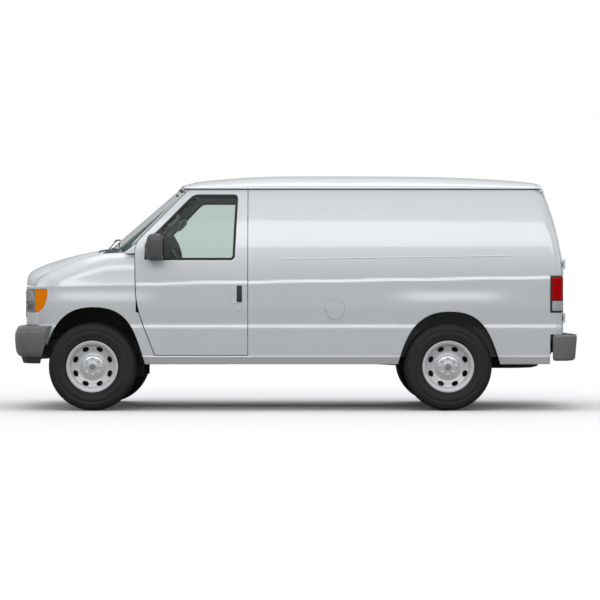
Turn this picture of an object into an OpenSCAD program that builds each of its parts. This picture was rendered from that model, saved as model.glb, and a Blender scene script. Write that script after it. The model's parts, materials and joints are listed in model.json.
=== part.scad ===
// Full-size cargo van: a hollow sheet-metal body on a ladder frame, with hinged doors,
// a hinged hood, a round fuel flap, steered front wheels and a live rear axle.
// +X points forwards, +Y to the van's left, +Z up. The origin is on the ground, in the
// middle of the van's length and width.

/* [Layout] */
// Distance between the front and rear axles
wheelbase = 3245; // [3000:5:3900]
// Front axle to the face of the front bumper
front_overhang = 771; // [740:1:930]
// Rear axle to the face of the rear bumper
rear_overhang = 1224; // [1150:1:1480]
// Width of the body at its widest, without the mirrors
body_width = 2000; // [1860:5:2400]
// Height of the roof crown above the ground
overall_height = 2174; // [2100:1:2620]
// Track, measured between the wheel centres
track = 1730; // [1640:5:1760]

/* [Body lines] */
// Height of the lower edge of the sills
sill_z = 424; // [400:1:440]
// Height of the crease along the top of the sills
rocker_z = 497; // [480:1:510]
// Height of the lower pressed line
lower_crease_z = 773; // [740:1:800]
// Height of the upper pressed line at the nose
crease_front_z = 1142; // [1130:1:1160]
// Height of the upper pressed line at the tail
crease_rear_z = 1223; // [1200:1:1235]
// Height of the window sill
belt_z = 1372; // [1350:1:1400]
// Height of the roof crown above the drip rail
crown = 140; // [110:1:170]
// Plan narrowing of the side between its middle and the nose
barrel = 8; // [0:1:20]
// How much the side leans in at the drip rail
tumblehome = 150; // [100:1:180]
// How far the wheel-arch flares stand out
flare = 16; // [0:1:24]
// How much the rear face leans forwards at the roof
rear_lean = 192; // [120:1:240]
// How far the middle of the rear face bows out
rear_bow = 50; // [20:1:70]
// Radius of the rear corners in plan
rear_corner = 80; // [50:1:110]

/* [Wall thicknesses] */
// Cargo walls and roof
wall_t = 40; // [25:1:50]
// Front doors
door_t = 70; // [55:1:80]
// Side and rear cargo doors
cargo_door_t = 55; // [45:1:65]
// Fenders and nose panel
fender_t = 20; // [12:1:25]
// Hood
hood_t = 22; // [15:1:30]
// Window glass
glass_t = 5; // [4:1:7]
// Gap between a door and its frame
shut_gap = 6; // [5:0.5:9]

// How far the cargo doors' meeting edges taper towards the inside
edge_taper = 12; // [10:1:20]

/* [Wheels] */
// Outside diameter of the tyres
tyre_d = 806; // [740:1:970]
// Width of the tyres
tyre_w = 240; // [215:1:255]
// Diameter of the rim's outer flange
rim_d = 472; // [440:1:500]
// Radius of the stub shaft in each wheel
stub_r = 32; // [26:1:38]
// Radial running clearance of the wheels on their shafts
stub_play = 0.08; // [0.02:0.01:0.1]

/* [Interfaces] */
// Diameter of the hitch ball hole in the step bumper
ball_hole_d = 25.4; // [19:0.1:32]
// Spacing of the number-plate screws
plate_holes = 178; // [150:1:200]
// Diameter of the number-plate screw holes
plate_hole_d = 6.4; // [5:0.1:8]

/* [Hidden] */
$fn = 32;

// Stations along the van
overall_length = wheelbase + front_overhang + rear_overhang;
front_x = overall_length / 2;
fa = front_x - front_overhang;      // front axle
ra = fa - wheelbase;                // rear axle
front_reach = 80;                   // front bumper ahead of the nose
rear_reach = 175;                   // rear bumper behind the rear corners
nose_x = front_x - front_reach;
tail_x = -front_x + rear_reach;
half = body_width / 2;
rail_z = overall_height - crown;
tyre_r = tyre_d / 2;
hub_y = track / 2;
fit = 0.3;                          // clearance of pieces that seat on each other

// ---- small helpers ----
function clamp01(t) = min(1, max(0, t));
function smooth(t) = let (c = clamp01(t)) c * c * (3 - 2 * c);
function mix(a, b, t) = a + (b - a) * t;
function steps(a, b, n) = [for (i = [0 : n]) mix(a, b, i / n)];
function bezier(a, b, c, d, n) = [for (t = steps(0, 1, n))
    let (s = 1 - t) s * s * s * a + 3 * s * s * t * b + 3 * s * t * t * c + t * t * t * d];
function reversed(list) = [for (i = [len(list) - 1 : -1 : 0]) list[i]];

// A closed slab between two equal grids of points
module slab(outer, inner) {
    rows = len(outer);
    cols = len(outer[0]);
    count = rows * cols;
    mid = floor(rows / 2);
    a = outer[mid][0];
    turn = cross(outer[mid][1] - a, outer[mid - 1][0] - a) * (a - inner[mid][0]) < 0;
    points = concat([for (r = outer) each r], [for (r = inner) each r]);
    function quad(p, q, r, s) = turn ? [[p, q, r], [p, r, s]] : [[r, q, p], [s, r, p]];
    faces = concat(
        [for (r = [0 : rows - 2], c = [0 : cols - 2]) let (k = r * cols + c)
            each quad(k + cols, k + cols + 1, k + 1, k)],
        [for (r = [0 : rows - 2], c = [0 : cols - 2]) let (k = count + r * cols + c)
            each quad(k, k + 1, k + cols + 1, k + cols)],
        [for (c = [0 : cols - 2]) each quad(c, c + 1, count + c + 1, count + c)],
        [for (c = [0 : cols - 2]) let (k = (rows - 1) * cols + c)
            each quad(count + k, count + k + 1, k + 1, k)],
        [for (r = [0 : rows - 2]) let (k = r * cols)
            each quad(count + k, count + k + cols, k + cols, k)],
        [for (r = [0 : rows - 2]) let (k = r * cols + cols - 1)
            each quad(k, k + cols, count + k + cols, count + k)]);
    polyhedron(points = points, faces = faces, convexity = 8);
}

// Takes a pressed panel as one mesh
module pressed() { resize([0, 0, 0]) children(); }

module mirrored() { children(); mirror([0, 1, 0]) children(); }

// A prism with a side-view outline, from y0 to y1, leaning forwards towards the inside by lean
module side_prism(y0, y1, lean = 0) {
    multmatrix([[1, -lean, 0, lean * half], [0, 1, 0, 0], [0, 0, 1, 0]])
        translate([0, y1, 0]) rotate([90, 0, 0]) linear_extrude(y1 - y0) children();
}

// A prism with a front-view outline (y, z), from x0 to x1
module front_prism(x0, x1) {
    translate([x0, 0, 0]) rotate([90, 0, 90]) linear_extrude(x1 - x0) children();
}

// ---- the body's surfaces ----
function crease_z(x) = mix(crease_rear_z, crease_front_z, (x - tail_x) / (nose_x - tail_x));

nose_start = fa - 399;              // where the plan of the nose begins to round
nose_depth = nose_x - nose_start;
nose_bow = 90;
nose_half = half - barrel;
nose_m = 7;
nose_n = 4.3;

// Plan outline of the nose: x for a given y, and the reverse
function outline_x(y) = nose_start
    + nose_depth * pow(max(0, 1 - pow(abs(y) / nose_half, nose_n)), 1 / nose_m)
    - nose_bow * pow(y / nose_half, 2);
function outline_y(x, low = 0, high = nose_half, n = 20) = let (m = (low + high) / 2)
    n == 0 ? m : outline_x(m) > x ? outline_y(x, m, high, n - 1) : outline_y(x, low, m, n - 1);

// Half-width of the body at the crease
function plan_half(x) = x > nose_start - nose_bow ? outline_y(x)
    : half - barrel * pow(x / (nose_start - nose_bow), 2);

// How far the side is set in from plan_half at height z
function side_inset(x, z) = let (zc = crease_z(x))
    z > zc ? 9 + (tumblehome - 9) * pow((z - zc) / (rail_z - zc), 1.9)
    : lookup(z, [[sill_z, 48], [rocker_z - 4, 17], [rocker_z + 2, 21], [lower_crease_z - 12, 10],
        [lower_crease_z + 12, 20], [lower_crease_z + 160, 7], [zc - 8, 2], [zc, 9]]);

function flare_at(x, z, axle) = flare * smooth(1 - (abs(x - axle) - 250) / 420)
    * smooth((1110 - z) / 130) * smooth((z - sill_z + 60) / 200);
function side_y(x, z) = plan_half(x) - side_inset(x, z)
    + flare_at(x, z, fa - 40) + flare_at(x, z, ra - 20);

// The rear face: its lean, and its x at a given place
function lean_at(z) = rear_lean * pow(max(0, z - crease_rear_z) / (rail_z - crease_rear_z), 1.7);
function rear_x(y, z) = tail_x + lean_at(z) - rear_bow * (1 - pow(y / half, 2));

// Spine of the nose and hood: height of the centre line at x
function spine_z(x) = lookup(x - nose_x, [[-800, 1478], [-658, 1456], [-551, 1438], [-398, 1407],
    [-246, 1369], [-110, 1316], [-57, 1287], [-20, 1245], [-4, 1190], [0, 1142]]);
// Height of the hood and the fender tops
function fullness(x) = smooth((nose_x - 250 - x) / 700);
function top_z(x, y) = let (zc = crease_z(x), full = fullness(x),
    share = min(1, abs(y) / max(1, plan_half(x) - 9)))
    zc + (spine_z(x) - zc) * pow(1 - pow(share, mix(2.6, 12, full)), 1 / mix(2, 3, full));

// Roof: centre line and crown
function roof_line(x) = overall_height - lookup(x, [[fa - 930, 52], [fa - 774, 97], [fa - 759, 104]])
    * (x > fa - 930 ? 1 : 0) - (x > fa - 930 ? 0
    : x > 0 ? 54 * pow(x / (fa - 930), 2) : 80 * pow(x / (tail_x + 100), 4));
function roof_half(x) = plan_half(x) - tumblehome + 6;
function roof_z(x, y) = rail_z + (roof_line(x) - rail_z)
    * pow(1 - pow(min(1, abs(y) / roof_half(x)), 3.2), 0.5);

// ---- outlines in side view ----
function arch(axle, top, front, rear) = [for (p = concat(
    bezier([-rear - 33, sill_z - 60], [-rear + 72, top - 206], [-rear + 127, top], [-10, top], 10),
    bezier([-10, top], [front - 172, top], [front - 60, top - 210], [front + 14, sill_z - 60], 10)))
    p + [axle, 0]];
front_arch_top = tyre_d + 140;
rear_arch_top = tyre_d + 99;
module front_arch() { polygon(arch(fa, front_arch_top, tyre_r + 62, tyre_r + 62)); }
module rear_arch() { polygon(arch(ra, rear_arch_top, tyre_r + 56, tyre_r + 60)); }

door_front = fa - 396;
door_rear = fa - 1415;
door_top = rail_z - 12;
pillar_foot = [fa - 430, 1564];
pillar_head = [fa - 842, 1984 + rail_z - 2034];
module door_outline() {
    polygon(concat([[door_rear, rocker_z + 10], [fa - 573, rocker_z + 10]],
        bezier([fa - 573, rocker_z + 10], [fa - 470, 790], [door_front, 900], [door_front, 1171], 8),
        bezier([door_front + 5, 1447], [door_front + 5, 1500], [fa - 412, 1545], pillar_foot, 3),
        [pillar_head, pillar_head + [-50, door_top - pillar_head[1]], [door_rear, door_top]]));
}
module window_outline() {
    offset(r = 38) offset(delta = -38)
        polygon([[fa - 484, belt_z], [fa - 478, 1530], [fa - 618, 1667],
            [fa - 861, 1920 + rail_z - 2034], [fa - 925, rail_z - 56], [fa - 1330, rail_z - 56],
            [fa - 1300, belt_z]]);
}

// A slab of the left side between two stations, from z0 to z1, t thick, sunk by depth
module side_skin(x0, x1, z0, z1, t, depth = 0, columns = 12) {
    zc = crease_z((x0 + x1) / 2);
    inner_lines = [for (z = [rocker_z - 4, rocker_z + 2, lower_crease_z - 12, lower_crease_z + 12,
        lower_crease_z + 160, zc - 150, zc - 60, zc - 8, zc + 1, zc + 120, zc + 250, zc + 370,
        zc + 480, zc + 580, zc + 670, zc + 750]) if (z > z0 + 5 && z < z1 - 5) z];
    zs = concat([z0], inner_lines, [z1]);
    xs = steps(x0, x1, columns);
    outer = [for (x = xs) [for (z = zs) [x, side_y(x, z) - depth, z]]];
    inner = [for (x = xs) [for (z = zs) [x, side_y(x, z) - depth - t, z]]];
    slab(outer, inner);
}

function levels(z0, z1) = concat([z0], [for (z = [rocker_z, lower_crease_z - 12, lower_crease_z + 12, 1000,
    crease_rear_z - 8, crease_rear_z + 1, 1340, 1470, 1600, 1720, 1830, 1920]) if (z > z0 + 5 && z < z1 - 5) z], [z1]);
// The rear corner and the post beside the rear door
module corner_skin(z0, z1, t, depth = 0) {
    zs = levels(z0, z1);
    corner = function (z, a, r) let (x = tail_x + rear_corner, y = side_y(x, z) - rear_corner)
        [x + lean_at(z) - r * sin(a), y + r * cos(a), z];
    ring = function (z, r) concat([[tail_x + 320, side_y(tail_x + 320, z) - rear_corner + r, z]],
        [for (a = [0 : 15 : 90]) corner(z, a, r)],
        [corner(z, 90, r) - [8, 60, 0]]);
    outer = [for (z = zs) ring(z, rear_corner - depth)];
    inner = [for (z = zs) ring(z, rear_corner - depth - t)];
    slab(outer, inner);
}

// ---- hinges ----
pin_r = 5;
barrel_r = 9;
barrel_h = 60;
module hinge_arm(leaf, h, w) {
    rotate([0, 0, atan2(leaf[1], leaf[0])]) translate([0, -w / 2, -h / 2]) cube([norm(leaf), w, h]);
}
// The bored half on the door, with a leaf that reaches to dx, dy
module hinge_barrel(at, leaf) {
    translate(at) difference() {
        union() {
            cylinder(r = barrel_r, h = barrel_h, center = true, $fn = 24);
            hinge_arm(leaf, barrel_h, 7);
        }
        cylinder(r = pin_r + hinge_play, h = barrel_h + 2, center = true, $fn = 48);
    }
}
// The pin on the body, with an arm above and below the barrel that reaches to leaf
module hinge_pin(at, leaf) {
    translate(at) {
        cylinder(r = pin_r, h = barrel_h + 30, center = true, $fn = 24);
        for (s = [-1, 1]) translate([0, 0, s * (barrel_h / 2 + 8)]) {
            cylinder(r = barrel_r, h = 12, center = true, $fn = 24);
            hinge_arm(leaf, 12, 10);
        }
    }
}
hinge_play = 0.08;
hinge_set = 8;                      // hinge axis in from a door's face
front_hinges = [990, 1150];
front_hinge_x = door_front - 22;
side_hinges = [700, 1330];
rear_hinges = [846, 1335];
rear_hinge_at = [tail_x - 16, half - 100];
side_hinge_in = 16;                 // side-door hinges in from the opening
door_swing = 15;                    // room ahead of the hinge axis for the door's curved edge
// Where the axis of a side hinge stands beside the body at x
function side_axis(x) = [x, plan_half(x) - hinge_set];
// Room for the barrel and arms
module hinge_notch(x, zs) {
    for (z = zs) translate([x, plan_half(x), z]) cube([48, 90, barrel_h + 44], center = true);
}
module side_pins(x, zs, dir) {
    for (z = zs) hinge_pin([x, plan_half(x) - hinge_set, z], [dir * 34, -26]);
}
module side_barrels(x, zs, dir) {
    for (z = zs) hinge_barrel([x, plan_half(x) - hinge_set, z], [-dir * 34, -26]);
}

// ==== frame and floor ====
rail_y = 430;
frame_low = 500;
floor_low = 650;
floor_top = 690;
module frame_rails() color("#26282b") {
    mirrored() translate([tail_x + 60, rail_y - 35, frame_low])
        cube([nose_x - tail_x - 180, 70, floor_low - frame_low]);
    for (x = [tail_x + 60, ra + 620, fa - 1260, nose_x - 180])
        translate([x, -rail_y + 34, frame_low + 20]) cube([60, 2 * rail_y - 68, 100]);
}

house_in = hub_y - tyre_w / 2 - 60;
module wheelhouse(grow) {
    side_prism(house_in + 12 - grow, half, 0) offset(r = grow) rear_arch();
}
floor_half = half - 16 - wall_t + 3;
step_half = half - 16 - door_t - 12;
module floor_plan() {
    polygon([[tail_x + 60, floor_half - 60], [tail_x + 160, floor_half], [door_rear - 8, floor_half],
        [door_rear - 8, step_half], [fa - 420, step_half], [fa - 420, -step_half],
        [door_rear - 8, -step_half], [side_open_rear - 8, -step_half], [side_open_rear - 8, -floor_half],
        [tail_x + 160, -floor_half], [tail_x + 60, -floor_half + 60]]);
}
module floor_pan() color("#4a4d50") pressed() {
    difference() {
        union() {
            translate([0, 0, floor_low]) linear_extrude(floor_top - floor_low) floor_plan();
            translate([fa - 440, -step_half, floor_low]) cube([20, 2 * step_half, 580]);
            translate([tail_x + 10, -half + 150, floor_low - 50]) cube([51, 2 * half - 300, 90]);
            mirrored() intersection() {
                wheelhouse(12);
                translate([ra - 700, 0, sill_z + 60]) cube([1400, half - 16 - wall_t + 1, 700]);
            }
        }
        mirrored() wheelhouse(0);
    }
}

// ==== body shell ====
side_open_front = door_rear - 66;
side_open_rear = side_open_front - 1120;
module shut(x0, x1, z0, z1, r = 60) {
    translate([x0, z0]) offset(r = r) offset(delta = -r) square([x1 - x0, z1 - z0]);
}
module body_side(cut) {
    color("#e4e7ea") pressed() union() {
        difference() {
            side_skin(tail_x + 319, fa - 380, sill_z, rail_z, wall_t, 0, 24);
            side_prism(half - 400, half + 60) {
                rear_arch();
                front_arch();
                offset(delta = shut_gap) door_outline();
                polygon([[door_front + 10, rocker_z + 4], [door_front - 200, rocker_z + 4],
                    pillar_foot + [-60, 0], pillar_head, pillar_head + [0, 100],
                    [door_front + 90, rail_z + 50]]);
                if (cut) shut(side_open_rear, side_open_front, rocker_z + 4, door_top + shut_gap, 40);
                else circle(r = 1);
            }
            if (!cut) translate([flap_x, half, flap_z]) rotate([90, 0, 0])
                cylinder(r = flap_r + 5, h = 300, center = true, $fn = 48);
        }
        difference() {
            corner_skin(sill_z, rail_z, wall_t);
            side_prism(half - 300, half + 60) {
                rear_arch();
                polygon([[tail_x - 90, sill_z - 10], [tail_x + 132, sill_z - 10],
                    [tail_x + 132, step_z + 2], [tail_x - 90, step_z + 2]]);
            }
            tail_lamp_cut(0.3);
        }
    }
    color("#2a2c2f") {
        for (z = rear_hinges) hinge_pin([rear_hinge_at[0], rear_hinge_at[1], z], [34, 0]);
        if (cut) {
            side_pins(side_open_front - side_hinge_in, side_hinges, 1);
            side_pins(side_open_rear + side_hinge_in, side_hinges, -1);
        }
    }
}

// Fuel flap
flap_x = ra + 1034;
flap_z = 927;
flap_r = 87;
module left_side() {
    body_side(false);
    color("#1b1c1e") translate([flap_x, side_y(flap_x, flap_z) - 28, flap_z]) rotate([90, 0, 0])
        difference() {
            cylinder(r = flap_r + 12, h = 30, $fn = 48);
            translate([0, 0, -1]) cylinder(r = 30, h = 20, $fn = 32);
        }
    color("#2a2c2f") translate([flap_x + flap_r + 3, side_y(flap_x, flap_z) + 6, flap_z]) {
        cylinder(r = 2.5, h = 44, center = true);
        for (s = [-1, 1]) translate([0, -24, s * 19 - 3]) cube([16, 28, 6]);
    }
}
module right_side() mirror([0, 1, 0]) body_side(true);

module roof() color("#e6e9ec") pressed() {
    xs = concat([tail_x + rear_lean - 30], steps(tail_x + rear_lean + 90, fa - 930, 9),
        [fa - 850, fa - 774]);
    shares = [-1, -0.985, -0.955, -0.9, -0.8, -0.6, -0.3, 0, 0.3, 0.6, 0.8, 0.9, 0.955, 0.985, 1];
    bow = function (x, s) x > 0 ? x - 62 * pow(s, 2) * smooth(x / 900)
        : x + rear_bow * pow(s, 2) * smooth(-x / 2000);
    outer = [for (x = xs) [for (s = shares) [bow(x, s), s * roof_half(x), roof_z(x, s * roof_half(x))]]];
    inner = [for (r = outer) [for (p = r) [p[0], p[1] * 0.975, max(p[2] - wall_t + 8, rail_z - 3)]]];
    slab(outer, inner);
    header = [for (s = shares) let (y = s * (roof_half(tail_x) - 8)) [for (u = [0, 0.5, 1])
        let (z = mix(rear_door_top + shut_gap, roof_z(tail_x + rear_lean, y) - 3, u)) [rear_x(y, z) , y, z]]];
    slab(header, [for (r = header) [for (p = r) p + [wall_t, 0, 0]]]);
    mirrored() slab(
        [for (x = steps(tail_x + rear_lean, pillar_head[0], 12))
            [[x, plan_half(x) - tumblehome + 16, rail_z - 4], [x, plan_half(x) - tumblehome + 16, rail_z + 8]]],
        [for (x = steps(tail_x + rear_lean, pillar_head[0], 12))
            [[x, plan_half(x) - tumblehome - 12, rail_z - 4], [x, plan_half(x) - tumblehome - 12, rail_z + 8]]]);
}

// ==== nose ====
hood_share = 0.9;                   // the hood's side edge as a share of the half-width
fender_front = 0.84;                // where the fender meets the nose panel
hood_parallel = 0.12;               // share of the hood, at its rear, whose sides run parallel
function hood_half(x) = hood_share * plan_half(x);
function hood_xy(u, s) = let (y = s * mix(hood_share * plan_half(hood_rear) - 9 - shut_gap,
    (fender_front - 0.02) * nose_half, max(u, hood_parallel))) [mix(hood_edge(y), outline_x(y) - 12, u), y];
module hood_plan() polygon(concat([for (s = steps(-1, 1, 12)) hood_xy(0, s)], [for (u = steps(0.1, 1, 9)) hood_xy(u, 1)],
    [for (s = steps(0.9, -1, 12)) hood_xy(1, s)], [for (u = steps(0.9, 0.1, 8)) hood_xy(u, -1)]));
module fender_skin() pressed() difference() {
    rows = concat([for (x = steps(door_front - 170, nose_x - 330, 11)) [x, plan_half(x), 0]],
        [for (s = steps(outline_y(nose_x - 300) / nose_half, fender_front, 5))
            [outline_x(s * nose_half), s * nose_half, 0.6]]);
    levels = [sill_z, rocker_z, lower_crease_z - 12, lower_crease_z + 12, lower_crease_z + 160];
    side_point = function (r, z) let (i = side_inset(r[0], z) - flare_at(r[0], z, fa - 40))
        [r[0] - i * r[2], r[1] - i * (1 - r[2] / 2), z];
    top_point = function (r, s) [r[0] - (r[2] > 0 ? 9 + 160 * (1 - s) : 0), r[1] * s - 9, top_z(r[0], (r[1] - 9) * s)];
    outer = [for (r = rows) concat([for (z = levels) side_point(r, z)],
        [side_point(r, crease_z(r[0]) - 10)],
        [for (s = [1, 0.995, 0.98, 0.955, 0.93, hood_share]) top_point(r, s)])];
    inner = [for (r = outer) [for (i = [0 : len(r) - 1]) i < 6
        ? r[i] - [fender_t * 0.6, fender_t, 0] : r[i] - [fender_t * 0.4, fender_t * 0.7, fender_t * 0.7]]];
    slab(outer, inner);
    side_prism(half - 500, half + 80) {
        front_arch();
        front_lamp_outline(0.3);
        offset(delta = shut_gap + 2) door_outline();
        polygon([[door_rear, sill_z - 20], [fa, sill_z - 20], [fa, rocker_z + 3.6], [door_rear, rocker_z + 3.6]]);
        polygon([pillar_foot + [9, 0], pillar_foot + [9, 300], pillar_head, [door_rear, 1500]]);
        translate([front_hinge_x - 20, 896]) square([20 + door_swing, 90]);
        polygon([[nose_x - 330, sill_z - 20], [nose_x + 40, sill_z - 20], [nose_x + 40, rocker_z + 180],
            [nose_x - 250, rocker_z + 180]]);
    }
    translate([0, 0, crease_front_z - 4]) linear_extrude(600) offset(delta = shut_gap) hood_plan();
}

module front_fenders() mirrored() {
    color("#e1e4e8") fender_skin();
    color("#2a2c2f") side_pins(front_hinge_x, front_hinges, 1);
}

lamp_low = 895;
module front_lamp_outline(grow) {
    offset(delta = grow) polygon([[nose_x + 60, 1111], [nose_x - 275, 1111], [nose_x - 281, 1080],
        [nose_x - 262, 985], [nose_x - 225, 925], [nose_x - 170, lamp_low], [nose_x + 60, lamp_low]]);
}
module nose_wall(z0, z1, t, depth = 0, reach = 0.86) {
    ys = steps(-reach, reach, 20);
    at = function (s, z, d) let (y = s * nose_half)
        [outline_x(y) - d - 6, y * (1 - d / nose_half * 0.55), z];
    slab([for (s = ys) [for (z = [z0, z1]) at(s, z, depth)]],
        [for (s = ys) [for (z = [z0, z1]) at(s, z, depth + t)]]);
}
grille_half = 500;
module lamps_front_view(grow) {
    mirrored() front_prism(nose_x - 400, nose_x + 60) offset(delta = grow)
        polygon([[grille_half + 20, lamp_low], [half, lamp_low], [half, 1111], [grille_half + 20, 1111]]);
}
module nose_panel() color("#e3e6e9") pressed() difference() {
    nose_wall(778, crease_front_z - 6, 24);
    front_prism(nose_x - 200, nose_x + 60) offset(delta = 0.3)
        translate([-grille_half, 850]) square([2 * grille_half, 250]);
    lamps_front_view(0.3);
}
module nose_frame() color("#2a2c2f") {
    translate([nose_x - 190, -490, floor_low]) cube([14, 980, 440]);
    mirrored() translate([nose_x - 178, grille_half + 2, 760])
        cube([outline_x(grille_half + 10) - 25 - nose_x + 178, 16, 340]);
}
module grille() color("#3c3f43") pressed() difference() {
    intersection() {
        nose_wall(840, 1110, 40, -6);
        front_prism(nose_x - 200, nose_x + 60) translate([-grille_half, 850]) square([2 * grille_half, 250]);
    }
    front_prism(nose_x - 200, nose_x + 60) for (z = [872 : 46 : 1060], s = [-1, 0, 1])
        translate([s * 322 - 150, z]) square([300, 30]);
}
module front_lamps() color("#e8b070") pressed() intersection() {
    nose_wall(880, 1125, 60, -4, 0.965);
    lamps_front_view(0);
    mirrored() side_prism(0, half + 80) front_lamp_outline(0);
}

// ==== windshield, pillars and cowl ====
screen_foot = [fa - 96, 1491];      // centre of the glass at its foot
screen_head = [fa - 759, 2061 + overall_height - 2174];
foot_half = half - 128;
head_half = half - 235;
function screen(s, t) = [mix(screen_foot[0], screen_head[0], t) - mix(180, 72, t) * s * s,
    s * mix(foot_half, head_half, t), mix(screen_foot[1], screen_head[1], t) - mix(36, 62, t) * s * s];
screen_in = [-0.65, 0, -0.76];
module windshield() color("#b9c8c3") pressed() slab(
    [for (t = [0, 0.5, 1]) [for (s = steps(-1, 1, 14)) screen(s, t)]],
    [for (t = [0, 0.5, 1]) [for (s = steps(-1, 1, 14)) screen(s, t) + glass_t * screen_in]]);

module windshield_pillars() color("#dfe2e6") mirrored() pressed() difference() {
    union() {
    edge = function (t) let (x = mix(pillar_foot[0], pillar_head[0], t) + 7,
        z = mix(pillar_foot[1], pillar_head[1], t) + 7) [x, side_y(x, z), z];
    ts = [-0.1, 0.15, 0.4, 0.7, 1];
    outer = [for (t = ts) [screen(0.993, clamp01(t)) + (t < 0 ? [6, 0, -40] : [0, 0, 4]),
        mix(screen(1.02, clamp01(t)), edge(t), 0.5) + [4, 10, 6], edge(t)]];
    inner = [for (r = outer) [r[0] + [-26, -3, -34], r[1] + [-22, -26, -26], r[2] + [-4, -46, -4]]];
    slab(outer, inner);
    slab([for (s = steps(-0.99, 0.99, 10)) [screen(s, 1.003), screen(s, 1.03)]],
        [for (s = steps(-0.99, 0.99, 10)) [screen(s, 1.003) + 34 * screen_in, screen(s, 1.03) + 34 * screen_in]]);
    }
    side_prism(half - 400, half + 60) offset(delta = shut_gap) door_outline();
}

hood_rear = fa + 33;
function hood_edge(y) = hood_rear - 120 * pow(y / half, 2);
module cowl_panel() color("#1d1f21") pressed() {
    ss = steps(-1, 1, 14);
    front = function (s) let (y = s * hood_half(hood_rear), x = hood_edge(y) - shut_gap) [x, y, top_z(x, y) - 4];
    back = function (s) screen(s * 1.01, 0) + [-4, 0, -6];
    outer = [for (s = ss) [front(s), mix(front(s), back(s), 0.5) - [0, 0, 10], back(s)]];
    slab(outer, [for (r = outer) [for (p = r) p - [0, 0, 22]]]);
    translate([fa - 60, -300, 1230]) cube([40, 600, 215]);
    difference() {
        translate([fa - 425, -step_half + 40, 1230]) cube([380, 2 * step_half - 80, 14]);
        translate([fa - 300, -engine_half, 1200]) cube([600, 2 * engine_half, 100]);
    }
}

module wipers() color("#141516") for (y = [-520, 250]) {
    foot = screen((y + 190) / foot_half, -0.03) + [30, 0, -14];
    tip = screen((y - 330) / foot_half, 0.14) + [12, 0, 14];
    middle = screen((y - 40) / foot_half, 0.1) + [14, 0, 16];
    translate(foot - [0, 0, 20]) cylinder(r = 11, h = 34);
    hull() { translate(foot) cylinder(r = 9, h = 12); translate(middle) sphere(r = 6, $fn = 8); }
    hull() { translate(tip) sphere(r = 6, $fn = 8); translate(middle + [0, 240, -6]) sphere(r = 6, $fn = 8); }
}

// ==== cab ====
wheel_at = [fa - 800, 400, 1330];   // centre of the steering wheel
column_tilt = 34;                   // tilt of its axis from level
wheel_r = 195;
shaft_r = 12;
module dashboard() {
    color("#3a3d41") {
        side_prism(-step_half + 30, step_half - 30) offset(r = 25) offset(delta = -25)
            polygon([[fa - 439.8, 1040], [fa - 439.8, 1390], [fa - 480, 1400], [fa - 600, 1405],
                [fa - 690, 1350], [fa - 700, 1200], [fa - 660, 1060]]);
        translate([fa - 460, -700, 1244.2]) cube([230, 1400, 150]);
        translate([fa - 980, -230, floor_top]) cube([980 - 439.8, 460, 330]);
        translate([fa - 700, -225, floor_top + 329]) cube([200, 450, 60]);
    }
    color("#2b2d30") translate(wheel_at) rotate([0, column_tilt - 90, 0]) {
        translate([0, 0, -340]) cylinder(r = 30, h = 290);
        translate([0, 0, -51]) cylinder(r = shaft_r, h = 60);
    }
}
module steering_wheel() color("#2f3134") translate(wheel_at) rotate([0, column_tilt - 90, 0]) {
    rotate_extrude($fn = 48) translate([wheel_r - 15, 0]) circle(r = 15, $fn = 20);
    difference() {
        union() {
            translate([0, 0, -44]) cylinder(r = 45, h = 60);
            for (a = [0, 130, 230]) rotate([0, 0, a + 180]) translate([20, -14, -16]) cube([wheel_r - 38, 28, 14]);
        }
        translate([0, 0, -60]) cylinder(r = shaft_r + stub_play, h = 69.5);
    }
}
seat_x = fa - 1150;
module seats() mirrored() translate([seat_x, 545, 0]) {
    color("#6c6f73") {
        side_prism(-240, 240) offset(r = 40) offset(delta = -40)
            polygon([[-255, 960], [230, 985], [265, 1065], [255, 1115], [-230, 1085]]);
        side_prism(-235, 235) offset(r = 45) offset(delta = -45)
            polygon([[-235, 1040], [-120, 1070], [-235, 1560], [-355, 1560], [-375, 1480]]);
        side_prism(-120, 120) offset(r = 38) offset(delta = -38)
            polygon([[-275, 1600], [-265, 1780], [-350, 1780], [-365, 1600]]);
    }
    color("#3a3c3f") {
        for (y = [-70, 70]) translate([-310, y, 1540]) cylinder(r = 8, h = 90);
        translate([-200, -200, floor_top]) cube([400, 400, 275]);
    }
}

// ==== running gear ====
engine_half = 300;
module engine() color("#4b4d4f") {
    translate([fa - 419.8, -engine_half, 470]) cube([850, 2 * engine_half, 700]);
    translate([fa - 1200, -150, 400]) cube([800, 300, 220]);
    translate([fa + 150, -rail_y + 35, 540]) cube([120, 2 * rail_y - 70, 60]);
}

axle_tube = 42;
flange_t = 24;                      // brake flange behind each wheel
module wheel_stub(length) {
    rotate([-90, 0, 0]) {
        cylinder(r = stub_r, h = length);
        translate([0, 0, -flange_t]) cylinder(r = 95, h = flange_t);
    }
}
// The face that the wheel's hub runs against, inboard of the wheel centre
hub_face = 62;
hub_gap = 1;
stub_length = 92;
module rear_axle() color("#232527") {
    translate([ra, 0, tyre_r]) {
        rotate([90, 0, 0]) cylinder(r = axle_tube, h = 2 * (hub_y - hub_face - 25), center = true);
        sphere(r = 150, $fn = 32);
        mirrored() translate([0, hub_y - hub_face - hub_gap, 0]) wheel_stub(stub_length);
    }
    mirrored() {
        for (s = [-1, 1]) side_prism(rail_y + 35, rail_y + 104) polygon([[ra - 4, tyre_r + 32], [ra + s * 620, frame_low + 50],
            [ra + s * 660, frame_low + 50], [ra + s * 660, frame_low + 14], [ra + s * 620, frame_low + 14], [ra + s * 30, tyre_r + 18]]);
        translate([ra - 60, rail_y + 30, tyre_r + 8]) cube([120, 80, 50]);
        translate([ra - 110, rail_y, tyre_r - 60]) cylinder(r = 20, h = frame_low - tyre_r + 60.2);
    }
}

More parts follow.
